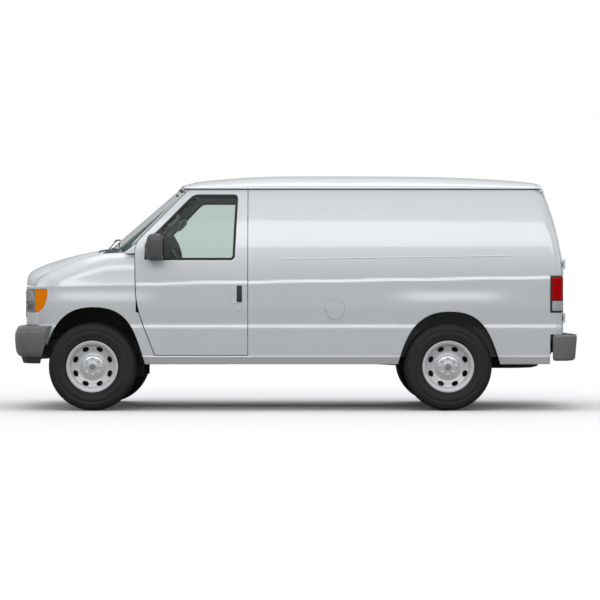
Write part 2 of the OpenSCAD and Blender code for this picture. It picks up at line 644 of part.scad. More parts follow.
king_y = hub_y - 130;
king_r = 16;
module front_axle() color("#232527") mirrored() {
    translate([fa, king_y, tyre_r]) {
        cylinder(r = 34, h = 76, center = true);
        cylinder(r = king_r, h = 200, center = true);
    }
    difference() {
        front_prism(fa - 30, fa + 30) polygon([[king_y, tyre_r - 30], [king_y, tyre_r + 30],
            [rail_y + 20, tyre_r - 60], [-100, tyre_r - 80], [-100, tyre_r - 130], [rail_y + 20, tyre_r - 120]]);
        translate([fa, king_y, 0]) cylinder(r = 30, h = 2000);
    }
    translate([fa - 30, rail_y - 35, tyre_r - 125]) cube([60, 50, 60]);
    translate([fa, rail_y, tyre_r - 70]) cylinder(r = 55, h = frame_low - tyre_r + 70.2);
    translate([fa - 430, rail_y - 30, tyre_r - 110]) cube([420, 34, 50]);
    translate([fa - 430, rail_y - 30, tyre_r - 110]) cube([50, 34, frame_low - tyre_r + 110.2]);
}
module knuckle() color("#2c2e31") translate([fa, 0, tyre_r]) {
    translate([0, king_y, 0]) for (s = [-1, 1]) translate([0, 0, s * 66]) difference() {
        union() {
            cylinder(r = 34, h = 50, center = true);
            translate([-30, 0, -25]) cube([60, hub_y - hub_face - hub_gap - flange_t - king_y + 8, 50]);
        }
        cylinder(r = king_r + stub_play, h = 60, center = true);
    }
    translate([0, hub_y - hub_face - hub_gap, 0]) wheel_stub(stub_length);
}
module left_knuckle() knuckle();
module right_knuckle() mirror([0, 1, 0]) knuckle();

bead_r = rim_d / 2 - 14;
module tyre(x, side) color("#1c1d1f") translate([x, side * hub_y, tyre_r]) rotate([-90 * side, 0, 0])
    rotate_extrude($fn = 72) offset(r = 14) offset(delta = -14) {
        w = tyre_w / 2;
        polygon([[bead_r, -w + 22], [bead_r, w - 22], [bead_r + 30, w - 8], [bead_r + 75, w],
            [tyre_r - 60, w - 3], [tyre_r - 22, w - 24], [tyre_r, w - 44], [tyre_r, -w + 44],
            [tyre_r - 22, -w + 24], [tyre_r - 60, -w + 3], [bead_r + 75, -w], [bead_r + 30, -w + 8]]);
    }
hub_cap_r = 108;
holes = 8;
module wheel(x, side) color("#c4c8cc") translate([x, side * hub_y, tyre_r]) rotate([-90 * side, 0, 0]) {
    w = tyre_w / 2;
    r = bead_r - fit;
    rotate_extrude($fn = 64) polygon([[r, -w + 24], [r + 14, -w + 15], [r + 14, -w + 8], [r - 10, -w + 9],
        [r - 24, -w + 40], [r - 24, w - 34], [r - 10, w - 9], [r + 14, w - 8], [r + 14, w - 15],
        [r, w - 24], [r - 12, w - 42], [r - 12, -w + 44]]);
    difference() {
        rotate_extrude($fn = 64) polygon([[0, -hub_face], [80, -hub_face], [84, 10], [hub_cap_r + 22, 16],
            [bead_r - 40, w - 84], [bead_r - 20, w - 76], [bead_r - 20, w - 60], [bead_r - 40, w - 70],
            [hub_cap_r + 20, 30], [hub_cap_r, 46], [hub_cap_r - 16, 66], [40, 78], [0, 80]]);
        for (i = [0 : holes - 1]) rotate([0, 0, (i + 0.5) * 360 / holes]) translate([174, 0, 0])
            scale([0.75, 1, 1]) cylinder(r = 26, h = 200, center = true, $fn = 20);
        translate([0, 0, -hub_face - 1]) cylinder(r = stub_r + stub_play, h = stub_length + 3);
    }
}
module tyre_front_left() tyre(fa, 1);
module tyre_front_right() tyre(fa, -1);
module tyre_rear_left() tyre(ra, 1);
module tyre_rear_right() tyre(ra, -1);
module wheel_front_left() wheel(fa, 1);
module wheel_front_right() wheel(fa, -1);
module wheel_rear_left() wheel(ra, 1);
module wheel_rear_right() wheel(ra, -1);

module fuel_tank() color("#202224") translate([ra + 690, -80, 0]) {
    translate([0, 80 - rail_y - 310, 440]) cube([700, 270, 180]);
    for (x = [100, 560]) translate([x, 80 - rail_y - 200, 619.8]) cube([40, 60, floor_low - 619.6]);
}
module exhaust() color("#5b5753") {
    translate([fa - 700, -240, 470]) rotate([0, -90, 0]) cylinder(r = 27, h = 600);
    translate([fa - 1290, -240, 470]) rotate([0, -90, 0]) scale([0.62, 1, 1]) cylinder(r = 130, h = 620);
    translate([fa - 1900, -240, 470]) rotate([0, -90, 0]) cylinder(r = 27, h = 700);
    for (x = [fa - 1400, fa - 1800]) translate([x, -250, 540]) cube([20, 20, floor_low - 539.8]);
}
module spare_wheel() color("#1c1d1f") translate([tail_x + 505, 0, 470]) {
    rotate_extrude($fn = 64) offset(r = 20) offset(delta = -20) polygon([[bead_r, -85], [bead_r, 85],
        [tyre_r - 75, 100], [tyre_r - 25, 70], [tyre_r - 25, -70], [tyre_r - 75, -100]]);
    translate([0, 0, -20]) cylinder(r = bead_r + 1, h = 12);
    translate([0, 0, -9]) cylinder(r = 14, h = floor_low - 461 + 0.2);
}

// ==== bumpers and rear lamps ====
bumper_half = half - 14;
function bumper_x(y) = let (b = nose_x - 330)
    b + (front_x - b) * pow(1 - pow(abs(y) / bumper_half, 5), 1 / 6) - 40 * pow(y / bumper_half, 2);
module front_bumper() color("#616161") {
    ss = [-0.9999, -0.995, -0.97, -0.92, -0.84, -0.7, -0.45, 0, 0.45, 0.7, 0.84, 0.92, 0.97, 0.995, 0.9999];
    profile = [[491, 45], [520, 18], [600, 4], [660, 0], [720, 6], [758, 25], [776, 60]];
    at = function (s, z, in) [bumper_x(s * bumper_half) - in, s * (bumper_half - in * 0.6), z];
    pressed() difference() {
        union() {
        slab([for (s = ss) [for (p = profile) at(s, p[0], p[1])]],
            [for (s = ss) [for (p = profile) at(s, p[0], p[1] + 34)]]);
        slab([for (s = ss) [for (z = [430, 520]) at(s * 0.97, z, 74 - (z - 430) / 3)]],
            [for (s = ss) [for (z = [430, 520]) at(s * 0.97, z, 104 - (z - 430) / 3)]]);
        }
        mirrored() side_prism(600, half + 60) offset(delta = 12) front_arch();
    }
    mirrored() translate([nose_x - 120, rail_y - 30, 550]) cube([front_reach + 90, 60, 60]);
}

step_z = floor_top + 3;
step_t = 18;
step_front = tail_x + 88;
module step_plan(in) {
    polygon(concat([[tail_x + 9, half - 110], [step_front + 2 * in, half - 110], [step_front + 2 * in, half - 10 - in],
        [-front_x + 110, half - 12 - in]],
        bezier([-front_x + 60, half - 40 - in], [-front_x + 30 + in, half - 80 - in],
            [-front_x + in, 500], [-front_x + in, 300], 6),
        [[-front_x + in, -300]],
        bezier([-front_x + in, -500], [-front_x + 30 + in, -half + 80 + in],
            [-front_x + 60, -half + 40 + in], [-front_x + 110, -half + 12 + in], 6),
        [[step_front + 2 * in, -half + 10 + in], [step_front + 2 * in, -half + 110], [tail_x + 9, -half + 110]]));
}
ball_x = -front_x + 60;
module rear_bumper() color("#5f5f60") {
    difference() {
        translate([0, 0, 455]) linear_extrude(step_z - 455) step_plan(0);
        translate([0, 0, 440]) linear_extrude(step_z - step_t - 440) union() {
            step_plan(24);
            translate([tail_x - 40, -half + 40]) square([150, 2 * half - 80]);
        }
        translate([ball_x, 0, step_z - step_t - 1]) cylinder(r = ball_hole_d / 2, h = step_t + 2);
        for (s = [-1, 1]) translate([-front_x - 1, s * plate_holes / 2, 560]) rotate([0, 90, 0])
            cylinder(r = plate_hole_d / 2, h = 30);
    }
    mirrored() translate([-front_x + 20, rail_y - 30, frame_low + 20])
        cube([tail_x + 60 + front_x - 20, 60, 78]);
}

module tail_lamp_cut(grow) {
    translate([tail_x - 100, half - 78 - grow, lamp_low - grow])
        cube([218 + grow, 300, 335 + 2 * grow]);
}
module tail_lamps() color("#b01820") mirrored() pressed() intersection() {
    corner_skin(lamp_low - 20, lamp_low + 360, wall_t, -6);
    tail_lamp_cut(0);
}

// ==== hood ====
frame_top = floor_low + 440;
module hood() {
    color("#eaecef") hood_skin();
    color("#2a2c2f") translate([nose_x - 188, -20, frame_top + 0.5]) cube([10, 40, spine_z(nose_x - 183) - hood_t - frame_top + 4]);
}
module hood_skin() pressed() {
    us = concat(steps(0, 0.8, 8), [0.88, 0.94, 0.975, 1]);
    ss = steps(-1, 1, 16);
    outer = [for (u = us) [for (s = ss) let (q = hood_xy(u, s)) [q[0], q[1], top_z(q[0], q[1])]]];
    lip = [for (s = ss) let (q = hood_xy(1, s)) [outline_x(q[1]) - 8, q[1], crease_front_z + 6]];
    slab(concat(outer, [lip]), concat([for (i = [0 : len(us) - 1]) [for (p = outer[i]) p - [hood_t * 0.3 * us[i], 0, hood_t]]],
        [[for (p = lip) p - [hood_t, 0, 0]]]));
}

// ==== fuel flap ====
module fuel_flap() color("#e3e6e9") translate([flap_x, side_y(flap_x, flap_z), flap_z]) {
    translate([0, 2, 0]) rotate([90, 0, 0]) cylinder(r = flap_r, h = 6, $fn = 48);
    difference() {
        union() {
            translate([flap_r + 3, 6, -14]) cylinder(r = 5, h = 28);
            translate([flap_r - 14, -1, -14]) cube([17, 6, 28]);
        }
        translate([flap_r + 3, 6, -20]) cylinder(r = 2.5 + hinge_play, h = 40);
    }
}

// ==== doors ====
module left_door_panel() {
    difference() {
        intersection() {
            side_skin(door_rear - 1, door_front + 12, rocker_z, door_top + 2, door_t, 0, 10);
            side_prism(0, half + 60) door_outline();
        }
        side_prism(0, half + 60) window_outline();
        hinge_notch(front_hinge_x, front_hinges);
    }
}
module left_door() color("#e2e5e8") pressed() {
    left_door_panel();
    side_barrels(front_hinge_x, front_hinges, 1);
    {
        translate([door_rear + 52, side_y(door_rear, 1065) - 12, 983]) cube([109, 16, 164]);
        translate([door_rear + 88, side_y(door_rear, 919) + 4, 919]) rotate([90, 0, 0]) cylinder(r = 11, h = 20);
    }
}
module right_door() mirror([0, 1, 0]) left_door();
module left_door_glass() color("#b9c8c3") pressed() intersection() {
    side_skin(fa - 1345, fa - 470, belt_z - 12, rail_z - 40, glass_t, 30, 6);
    side_prism(0, half + 60) offset(delta = 5) window_outline();
}
module right_door_glass() mirror([0, 1, 0]) left_door_glass();
module left_mirror() color("#3f4144") {
    at = [fa - 578, side_y(fa - 578, 1490), 1488];
    side_prism(at[1] - 22, at[1] + 6) polygon([[fa - 472, 1392], [fa - 484, 1500], [fa - 626, 1660], [fa - 640, 1392]]);
    translate(at + [-20, 0, -25]) cube([60, 60, 90]);
    translate(at + [0, 150, 0]) hull() for (x = [-58, 58], z = [-86, 86], y = [-72, 72])
        translate([x, y, z]) sphere(r = 30, $fn = 16);
}
module right_mirror() mirror([0, 1, 0]) left_mirror();

side_split = side_open_front - 640;
// A leaf whose free edge, at x free and towards dir, tapers towards the inside
module cargo_leaf(x0, x1, hinge_x, free, dir) {
    difference() {
        intersection() {
            side_skin(x0 - 2, x1 + 2, rocker_z, door_top + 2, cargo_door_t, 0, 6);
            side_prism(0, half + 60) shut(x0, x1, rocker_z + 10, door_top, 36);
        }
        hinge_notch(hinge_x, side_hinges);
        zs = steps(rocker_z - 10, door_top + 10, 24);
        wedge = function (depth, reach) [for (z = zs) [[free - dir * 4, side_y(free, z) - depth, z], [free + dir * reach, side_y(free, z) - depth, z]]];
        slab(wedge(-1, 0), wedge(cargo_door_t + 2, edge_taper));
    }
}
module side_door_front() color("#e2e5e8") pressed() mirror([0, 1, 0]) {
    cargo_leaf(side_split + shut_gap / 2, side_open_front - shut_gap, side_open_front - side_hinge_in, side_split + shut_gap / 2, 1);
    side_barrels(side_open_front - side_hinge_in, side_hinges, 1);
}
module side_door_rear() color("#e2e5e8") pressed() mirror([0, 1, 0]) {
    cargo_leaf(side_open_rear + shut_gap, side_split - shut_gap / 2, side_open_rear + side_hinge_in, side_split - shut_gap / 2, -1);
    side_barrels(side_open_rear + side_hinge_in, side_hinges, -1);
}

rear_door_top = rail_z - 40;
rear_door_low = floor_top + 10;
function rear_edge(z) = side_y(tail_x + rear_corner, z) - rear_corner - 60 - shut_gap;
module rear_leaf(z0, z1, t, depth, in = 0, taper = 0) {
    zs = levels(z0, z1);
    outer = [for (z = zs) [for (y = steps(shut_gap / 2 + in, rear_edge(z) - in, 7)) [rear_x(y, z) + depth, y, z]]];
    slab(outer, [for (r = outer) [for (i = [0 : len(r) - 1]) r[i] + [t, i == 0 ? taper : 0, 0]]]);
}
module rear_window(grow) {
    front_prism(tail_x - 200, tail_x + 400) offset(r = 40 + grow) offset(delta = -40)
        polygon([[95, belt_z + 20], [rear_edge(belt_z) - 75, belt_z + 20], [rear_edge(rear_door_top) - 60, rear_door_top - 90],
            [95, rear_door_top - 90]]);
}
module rear_door_left() {
    color("#e0e3e7") pressed() difference() {
        rear_leaf(rear_door_low, rear_door_top, cargo_door_t, 0, 0, edge_taper);
        rear_window(0);
    }
    color("#2a2c2f") for (z = rear_hinges) hinge_barrel([rear_hinge_at[0], rear_hinge_at[1], z], [2, rear_edge(z) - 8 - rear_hinge_at[1]]);
}
module rear_door_right() mirror([0, 1, 0]) rear_door_left();
module rear_glass_left() color("#b9c8c3") pressed() intersection() {
    rear_leaf(rear_door_low, rear_door_top, glass_t, 25, 20);
    rear_window(4);
}
module rear_glass_right() mirror([0, 1, 0]) rear_glass_left();

frame_rails();
floor_pan();
roof();
left_side();
right_side();
front_fenders();
nose_panel();
nose_frame();
grille();
front_lamps();
tail_lamps();
front_bumper();
rear_bumper();
windshield_pillars();
cowl_panel();
windshield();
dashboard();
engine();
seats();
wipers();
fuel_tank();
exhaust();
rear_axle();
front_axle();
spare_wheel();
hood();
fuel_flap();
left_door();
left_door_glass();
left_mirror();
right_door();
right_door_glass();
right_mirror();
side_door_front();
side_door_rear();
rear_door_left();
rear_door_right();
rear_glass_left();
rear_glass_right();
steering_wheel();
left_knuckle();
right_knuckle();
tyre_front_left();
tyre_front_right();
tyre_rear_left();
tyre_rear_right();
wheel_front_left();
wheel_front_right();
wheel_rear_left();
wheel_rear_right();
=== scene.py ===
"""Visual model of a full-size cargo van: panels, glass, lamps, wheels, cab and running gear."""
from __future__ import annotations

import json
import logging
import math
from collections.abc import Callable, Iterable, Sequence
from dataclasses import dataclass, field
from enum import Enum

import bmesh
import bpy
from mathutils import Matrix, Vector

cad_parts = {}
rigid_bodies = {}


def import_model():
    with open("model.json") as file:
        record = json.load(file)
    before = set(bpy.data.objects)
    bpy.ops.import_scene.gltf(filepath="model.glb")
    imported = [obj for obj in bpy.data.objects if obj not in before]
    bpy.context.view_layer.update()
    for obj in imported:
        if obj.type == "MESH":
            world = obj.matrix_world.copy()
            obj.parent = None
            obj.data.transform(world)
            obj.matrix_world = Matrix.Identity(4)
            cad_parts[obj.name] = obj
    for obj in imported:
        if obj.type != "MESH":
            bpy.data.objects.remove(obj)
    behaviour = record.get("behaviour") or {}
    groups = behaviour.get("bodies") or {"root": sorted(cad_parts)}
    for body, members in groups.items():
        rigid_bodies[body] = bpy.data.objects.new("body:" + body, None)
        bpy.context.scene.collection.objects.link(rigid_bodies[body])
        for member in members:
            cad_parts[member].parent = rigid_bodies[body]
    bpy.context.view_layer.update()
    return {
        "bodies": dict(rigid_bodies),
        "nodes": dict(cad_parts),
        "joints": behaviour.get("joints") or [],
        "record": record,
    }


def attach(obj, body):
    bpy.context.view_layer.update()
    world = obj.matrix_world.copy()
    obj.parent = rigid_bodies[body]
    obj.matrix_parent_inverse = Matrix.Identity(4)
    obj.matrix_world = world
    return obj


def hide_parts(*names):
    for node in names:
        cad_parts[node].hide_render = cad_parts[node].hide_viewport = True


LOG = logging.getLogger("van")
MM = 0.001
CUT_DEEP = (400, 1100)  # the side-to-side reach of cutters that clear a whole door or wheel house
CUT_SKIN = (500, 1100)  # the reach of cutters that clear the outer skin only
Mesh = bmesh.types.BMesh
Point = tuple[float, float]
# A sheet's place(u, v, d): u and v run 0 to 1 along and up it, and d is 0 outside and 1 inside.
# Its result is in millimetres.
Grid = Callable[[float, float, float], Vector]


def clamp(t: float) -> float:
    """t held between 0 and 1."""
    return min(1.0, max(0.0, t))


def smooth(t: float) -> float:
    """An S curve from 0 to 1."""
    t = clamp(t)
    return t * t * (3 - 2 * t)


def mix(a: float, b: float, t: float) -> float:
    """The value a share t of the way from a to b."""
    return a + (b - a) * t


def lookup(x: float, table: Sequence[Point]) -> float:
    """Straight-line interpolation in a short table that rises in x.

    Args:
        x: where to read the table.
        table: (x, value) pairs.

    Returns:
        The value at x, held at both ends.
    """
    if x <= table[0][0]:
        return table[0][1]
    for (x0, v0), (x1, v1) in zip(table, table[1:]):
        if x <= x1:
            return mix(v0, v1, (x - x0) / (x1 - x0))
    return table[-1][1]


def bezier(a: Point, b: Point, c: Point, d: Point, n: int) -> list[Point]:
    """A cubic curve.

    Args:
        a, b, c, d: the control points.
        n: segments.

    Returns:
        n + 1 points.
    """
    out = []
    for i in range(n + 1):
        t = i / n
        s = 1 - t
        w = (s ** 3, 3 * s * s * t, 3 * s * t * t, t ** 3)
        out.append((sum(k * p[0] for k, p in zip(w, (a, b, c, d))),
            sum(k * p[1] for k, p in zip(w, (a, b, c, d)))))
    return out


@dataclass(frozen=True)
class VanLines:
    """The body's surfaces and outlines, in millimetres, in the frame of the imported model."""

    front_x: float = 2620
    front_axle: float = 1849
    rear_axle: float = -1396
    half: float = 1000
    height: float = 2174
    sill: float = 424
    rocker: float = 497
    low_crease: float = 773
    crease_front: float = 1142
    crease_rear: float = 1223
    belt: float = 1372
    crown: float = 140
    barrel: float = 8
    tumble: float = 150
    flare: float = 16
    rear_lean: float = 192
    rear_bow: float = 50
    corner: float = 80
    tyre_r: float = 403
    floor_top: float = 690
    gap: float = 6
    nose_bow: float = 90
    nose_n: float = 4.3
    nose_m: float = 7
    hood_share: float = 0.9
    fender_front: float = 0.84
    grille_half: float = 500
    lamp_low: float = 895
    flap_at: Point = (-362, 927)

    @property
    def nose(self) -> float:
        """Front of the sheet metal on the centre line."""
        return self.front_x - 80

    @property
    def tail(self) -> float:
        """The rear corners."""
        return -self.front_x + 175

    @property
    def rail(self) -> float:
        """Height of the drip rail."""
        return self.height - self.crown

    @property
    def nose_start(self) -> float:
        """Where the plan of the nose begins to round."""
        return self.front_axle - 399

    @property
    def nose_half(self) -> float:
        """Half-width at the nose."""
        return self.half - self.barrel

    @property
    def door_front(self) -> float:
        """Front edge of the cab doors."""
        return self.front_axle - 396

    @property
    def door_rear(self) -> float:
        """Rear edge of the cab doors."""
        return self.front_axle - 1415

    @property
    def door_top(self) -> float:
        """Top edge of the doors."""
        return self.rail - 12

    @property
    def pillar_foot(self) -> Point:
        """Foot of the door's sloping front edge."""
        return (self.front_axle - 430, 1564)

    @property
    def pillar_head(self) -> Point:
        """Head of the door's sloping front edge."""
        return (self.front_axle - 842, 1984)

    @property
    def hood_rear(self) -> float:
        """Rear edge of the hood on the centre line."""
        return self.front_axle + 33

    def crease_z(self, x: float) -> float:
        """Height of the upper pressed line at x."""
        return mix(self.crease_rear, self.crease_front, (x - self.tail) / (self.nose - self.tail))

    def outline_x(self, y: float) -> float:
        """Plan outline of the nose at y.

        Args:
            y: the place across.

        Returns:
            X there.
        """
        s = abs(y) / self.nose_half
        depth = self.nose - self.nose_start
        return (self.nose_start + depth * max(0.0, 1 - s ** self.nose_n) ** (1 / self.nose_m)
            - self.nose_bow * s * s)

    def outline_y(self, x: float) -> float:
        """Half-width of the nose's plan outline at x.

        Args:
            x: the place along the van.

        Returns:
            The half-width.
        """
        low, high = 0.0, self.nose_half
        for _ in range(24):
            mid = (low + high) / 2
            low, high = (mid, high) if self.outline_x(mid) > x else (low, mid)
        return (low + high) / 2

    def plan_half(self, x: float) -> float:
        """Half-width of the body at the crease."""
        limit = self.nose_start - self.nose_bow
        return self.outline_y(x) if x > limit else self.half - self.barrel * (x / limit) ** 2

    def inset(self, x: float, z: float) -> float:
        """How far the side stands in from plan_half.

        Args:
            x: the place along the van.
            z: the height.

        Returns:
            The distance.
        """
        zc = self.crease_z(x)
        if z > zc:
            return 9 + (self.tumble - 9) * ((z - zc) / (self.rail - zc)) ** 1.9
        return lookup(z, [(self.sill, 48), (self.rocker - 4, 17), (self.rocker + 2, 21),
            (self.low_crease - 12, 10), (self.low_crease + 12, 20), (self.low_crease + 160, 7), (zc - 8, 2),
            (zc, 9)])

    def flare_at(self, x: float, z: float, axle: float) -> float:
        """How far the wheel-arch flare stands out."""
        return (self.flare * smooth(1 - (abs(x - axle) - 250) / 420) * smooth((1110 - z) / 130)
            * smooth((z - self.sill + 60) / 200))

    def side_y(self, x: float, z: float) -> float:
        """The side surface."""
        return (self.plan_half(x) - self.inset(x, z) + self.flare_at(x, z, self.front_axle - 40)
            + self.flare_at(x, z, self.rear_axle - 20))

    def lean_at(self, z: float) -> float:
        """How far the rear face leans forwards at a height."""
        return self.rear_lean * (max(0.0, z - self.crease_rear) / (self.rail - self.crease_rear)) ** 1.7

    def rear_x(self, y: float, z: float) -> float:
        """The rear face."""
        return self.tail + self.lean_at(z) - self.rear_bow * (1 - (y / self.half) ** 2)

    def rear_edge(self, z: float) -> float:
        """Outer edge of the rear doors."""
        return self.side_y(self.tail + self.corner, z) - self.corner - 60 - self.gap

    def spine(self, x: float) -> float:
        """Centre line of the nose and hood."""
        return lookup(x - self.nose, [(-800, 1478), (-658, 1456), (-551, 1438), (-398, 1407), (-246, 1369),
            (-110, 1316), (-57, 1287), (-20, 1245), (-4, 1190), (0, 1142)])

    def top_z(self, x: float, y: float) -> float:
        """Hood and fender tops.

        Args:
            x: the place along the van.
            y: the place across.

        Returns:
            The height.
        """
        zc = self.crease_z(x)
        full = smooth((self.nose - 250 - x) / 700)
        share = min(1.0, abs(y) / max(1.0, self.plan_half(x) - 9))
        return zc + (self.spine(x) - zc) * (1 - share ** mix(2.6, 12, full)) ** (1 / mix(2, 3, full))

    def roof_half(self, x: float) -> float:
        """Half-width of the roof skin."""
        return self.plan_half(x) - self.tumble + 6

    def roof_z(self, x: float, y: float) -> float:
        """The roof skin.

        Args:
            x: the place along the van.
            y: the place across.

        Returns:
            The height.
        """
        f = self.front_axle
        if x > f - 930:
            drop = lookup(x, [(f - 930, 52), (f - 774, 97), (f - 759, 104)])
        elif x > 0:
            drop = 54 * (x / (f - 930)) ** 2
        else:
            drop = 80 * (x / (self.tail + 100)) ** 4
        share = min(1.0, abs(y) / self.roof_half(x))
        return self.rail + (self.crown - drop) * (1 - share ** 3.2) ** 0.5

    def hood_edge(self, y: float) -> float:
        """Rear edge of the hood."""
        return self.hood_rear - 120 * (y / self.half) ** 2

    def hood_xy(self, u: float, s: float) -> Point:
        """A place on the hood from its rear edge (u 0) to the nose (u 1), across by s."""
        y = s * mix(self.hood_share * self.plan_half(self.hood_rear) - 15,
            (self.fender_front - 0.02) * self.nose_half, max(u, 0.12))
        return (mix(self.hood_edge(y), self.outline_x(y) - 12, u), y)

    def screen(self, s: float, t: float) -> Vector:
        """The windshield's surface, across by s and up by t."""
        f = self.front_axle
        return Vector((mix(f - 96, f - 759, t) - mix(180, 72, t) * s * s,
            s * mix(self.half - 128, self.half - 235, t), mix(1491, 2061, t) - mix(36, 62, t) * s * s))

    def bumper_x(self, y: float) -> float:
        """Plan outline of the front bumper.

        Args:
            y: the place across.

        Returns:
            X there.
        """
        half = self.half - 14
        base = self.nose - 330
        return (base + (self.front_x - base) * max(0.0, 1 - (abs(y) / half) ** 5) ** (1 / 6)
            - 40 * (y / half) ** 2)

    def arch(self, axle: float, top: float, reach: float, rear: float) -> list[Point]:
        """Side-view outline of a wheel arch.

        Args:
            axle: the wheel's x.
            top: its height.
            reach: from the wheel forwards at the foot.
            rear: from the wheel backwards.

        Returns:
            The outline.
        """
        low = self.sill - 60
        pts = bezier((-rear - 33, low), (-rear + 72, top - 206), (-rear + 127, top), (-10, top), 16)
        pts += bezier((-10, top), (reach - 172, top), (reach - 60, top - 210), (reach + 14, low), 16)[1:]
        return [(p[0] + axle, p[1]) for p in pts]

    def front_arch(self) -> list[Point]:
        """The front wheel arch."""
        return self.arch(self.front_axle, 946, self.tyre_r + 62, self.tyre_r + 62)

    def rear_arch(self) -> list[Point]:
        """The rear wheel arch."""
        return self.arch(self.rear_axle, 905, self.tyre_r + 56, self.tyre_r + 60)

    def door(self) -> list[Point]:
        """Side-view outline of a cab door.

        Returns:
            The outline.
        """
        f, low = self.front_axle, self.rocker + 10
        foot, head = self.pillar_foot, self.pillar_head
        return ([(self.door_rear, low)] + bezier((f - 573, low), (f - 470, 790), (self.door_front, 900),
            (self.door_front, 1171), 14) + bezier((self.door_front + 5, 1447), (self.door_front + 5, 1500),
            (f - 412, 1545), foot, 4) + [head, (head[0] - 20, self.door_top - 12),
            (head[0] - 50, self.door_top), (self.door_rear, self.door_top)])

    def window(self) -> list[Point]:
        """Side-view outline of a cab door's glass."""
        f = self.front_axle
        return [(f - 484, self.belt), (f - 478, 1530), (f - 618, 1667), (f - 861, 1920),
            (f - 925, self.rail - 56), (f - 1330, self.rail - 56), (f - 1300, self.belt)]

    def front_lamp(self) -> list[Point]:
        """Side-view outline of a front corner lamp."""
        n = self.nose
        return ([(n + 60, 1111), (n - 268, 1111)] + bezier((n - 275, 1105), (n - 284, 1040), (n - 262, 925),
            (n - 175, self.lamp_low), 8) + [(n + 60, self.lamp_low)])


V = VanLines()
CUT_BACK = (V.tail - 200, V.tail + 400)  # the reach of cutters that go through a rear door
CUT_NOSE = (V.nose - 400, V.nose + 60)  # the reach of cutters that go through the nose


# ---- finishes ----
class Noise(Enum):
    """Grain sizes of the surface effects."""

    FINE = 900.0
    MEDIUM = 160.0
    COARSE = 14.0


def wear_group() -> bpy.types.NodeTree:
    """The shared wear effect: mottled colour, streaky dust low down, and fine grain for bump.

    Returns:
        The node group, with inputs Color, Dust, Scale and outputs Color, Rough and Height.
    """
    if "SurfaceWear" in bpy.data.node_groups:
        return bpy.data.node_groups["SurfaceWear"]
    g = bpy.data.node_groups.new("SurfaceWear", "ShaderNodeTree")
    face = g.interface
    for name, kind, value in (("Color", "NodeSocketColor", (0.8, 0.8, 0.8, 1)),
            ("Dust", "NodeSocketFloat", 0.1), ("Mottle", "NodeSocketFloat", 0.1),
            ("Scale", "NodeSocketFloat", 160.0), ("Roughness", "NodeSocketFloat", 0.4)):
        face.new_socket(name, in_out="INPUT", socket_type=kind).default_value = value
    for name, kind in (("Color", "NodeSocketColor"), ("Rough", "NodeSocketFloat"),
            ("Height", "NodeSocketFloat")):
        face.new_socket(name, in_out="OUTPUT", socket_type=kind)
    n, link = g.nodes, g.links.new
    gin, gout = n.new("NodeGroupInput"), n.new("NodeGroupOutput")
    where = n.new("ShaderNodeTexCoord")
    cloud = n.new("ShaderNodeTexNoise")
    cloud.inputs["Scale"].default_value = 2.6
    cloud.inputs["Detail"].default_value = 6
    grain = n.new("ShaderNodeTexNoise")
    grain.inputs["Detail"].default_value = 3
    split = n.new("ShaderNodeSeparateXYZ")
    low = n.new("ShaderNodeMapRange")
    low.inputs["From Min"].default_value = 0.35
    low.inputs["From Max"].default_value = 0.9
    low.inputs["To Min"].default_value = 1.0
    low.inputs["To Max"].default_value = 0.0
    dust = n.new("ShaderNodeMath")
    dust.operation = "MULTIPLY"
    dusty = n.new("ShaderNodeMath")
    dusty.operation = "MULTIPLY"
    tint = n.new("ShaderNodeMix")
    tint.data_type = "RGBA"
    tint.inputs["B"].default_value = (0.32, 0.30, 0.27, 1)
    shade = n.new("ShaderNodeMix")
    shade.data_type = "RGBA"
    shade.blend_type = "MULTIPLY"
    tone = n.new("ShaderNodeMapRange")
    tone.inputs["From Min"].default_value = 0.3
    tone.inputs["From Max"].default_value = 0.7
    tone.inputs["To Min"].default_value = 0.75
    tone.inputs["To Max"].default_value = 1.08
    rough = n.new("ShaderNodeMath")
    rough.operation = "MULTIPLY_ADD"
    rough.inputs[1].default_value = 0.3
    link(where.outputs["Object"], cloud.inputs["Vector"])
    link(where.outputs["Object"], grain.inputs["Vector"])
    link(where.outputs["Object"], split.inputs["Vector"])
    link(gin.outputs["Scale"], grain.inputs["Scale"])
    link(split.outputs["Z"], low.inputs["Value"])
    link(low.outputs["Result"], dust.inputs[0])
    link(gin.outputs["Dust"], dust.inputs[1])
    link(dust.outputs[0], dusty.inputs[0])
    link(cloud.outputs["Fac"], dusty.inputs[1])
    link(cloud.outputs["Fac"], tone.inputs["Value"])
    link(gin.outputs["Mottle"], shade.inputs["Factor"])
    link(gin.outputs["Color"], shade.inputs["A"])
    link(tone.outputs["Result"], shade.inputs["B"])
    link(dusty.outputs[0], tint.inputs["Factor"])
    link(shade.outputs["Result"], tint.inputs["A"])
    link(dusty.outputs[0], rough.inputs[0])
    link(gin.outputs["Roughness"], rough.inputs[2])
    link(tint.outputs["Result"], gout.inputs["Color"])
    link(rough.outputs[0], gout.inputs["Rough"])
    link(grain.outputs["Fac"], gout.inputs["Height"])
    return g


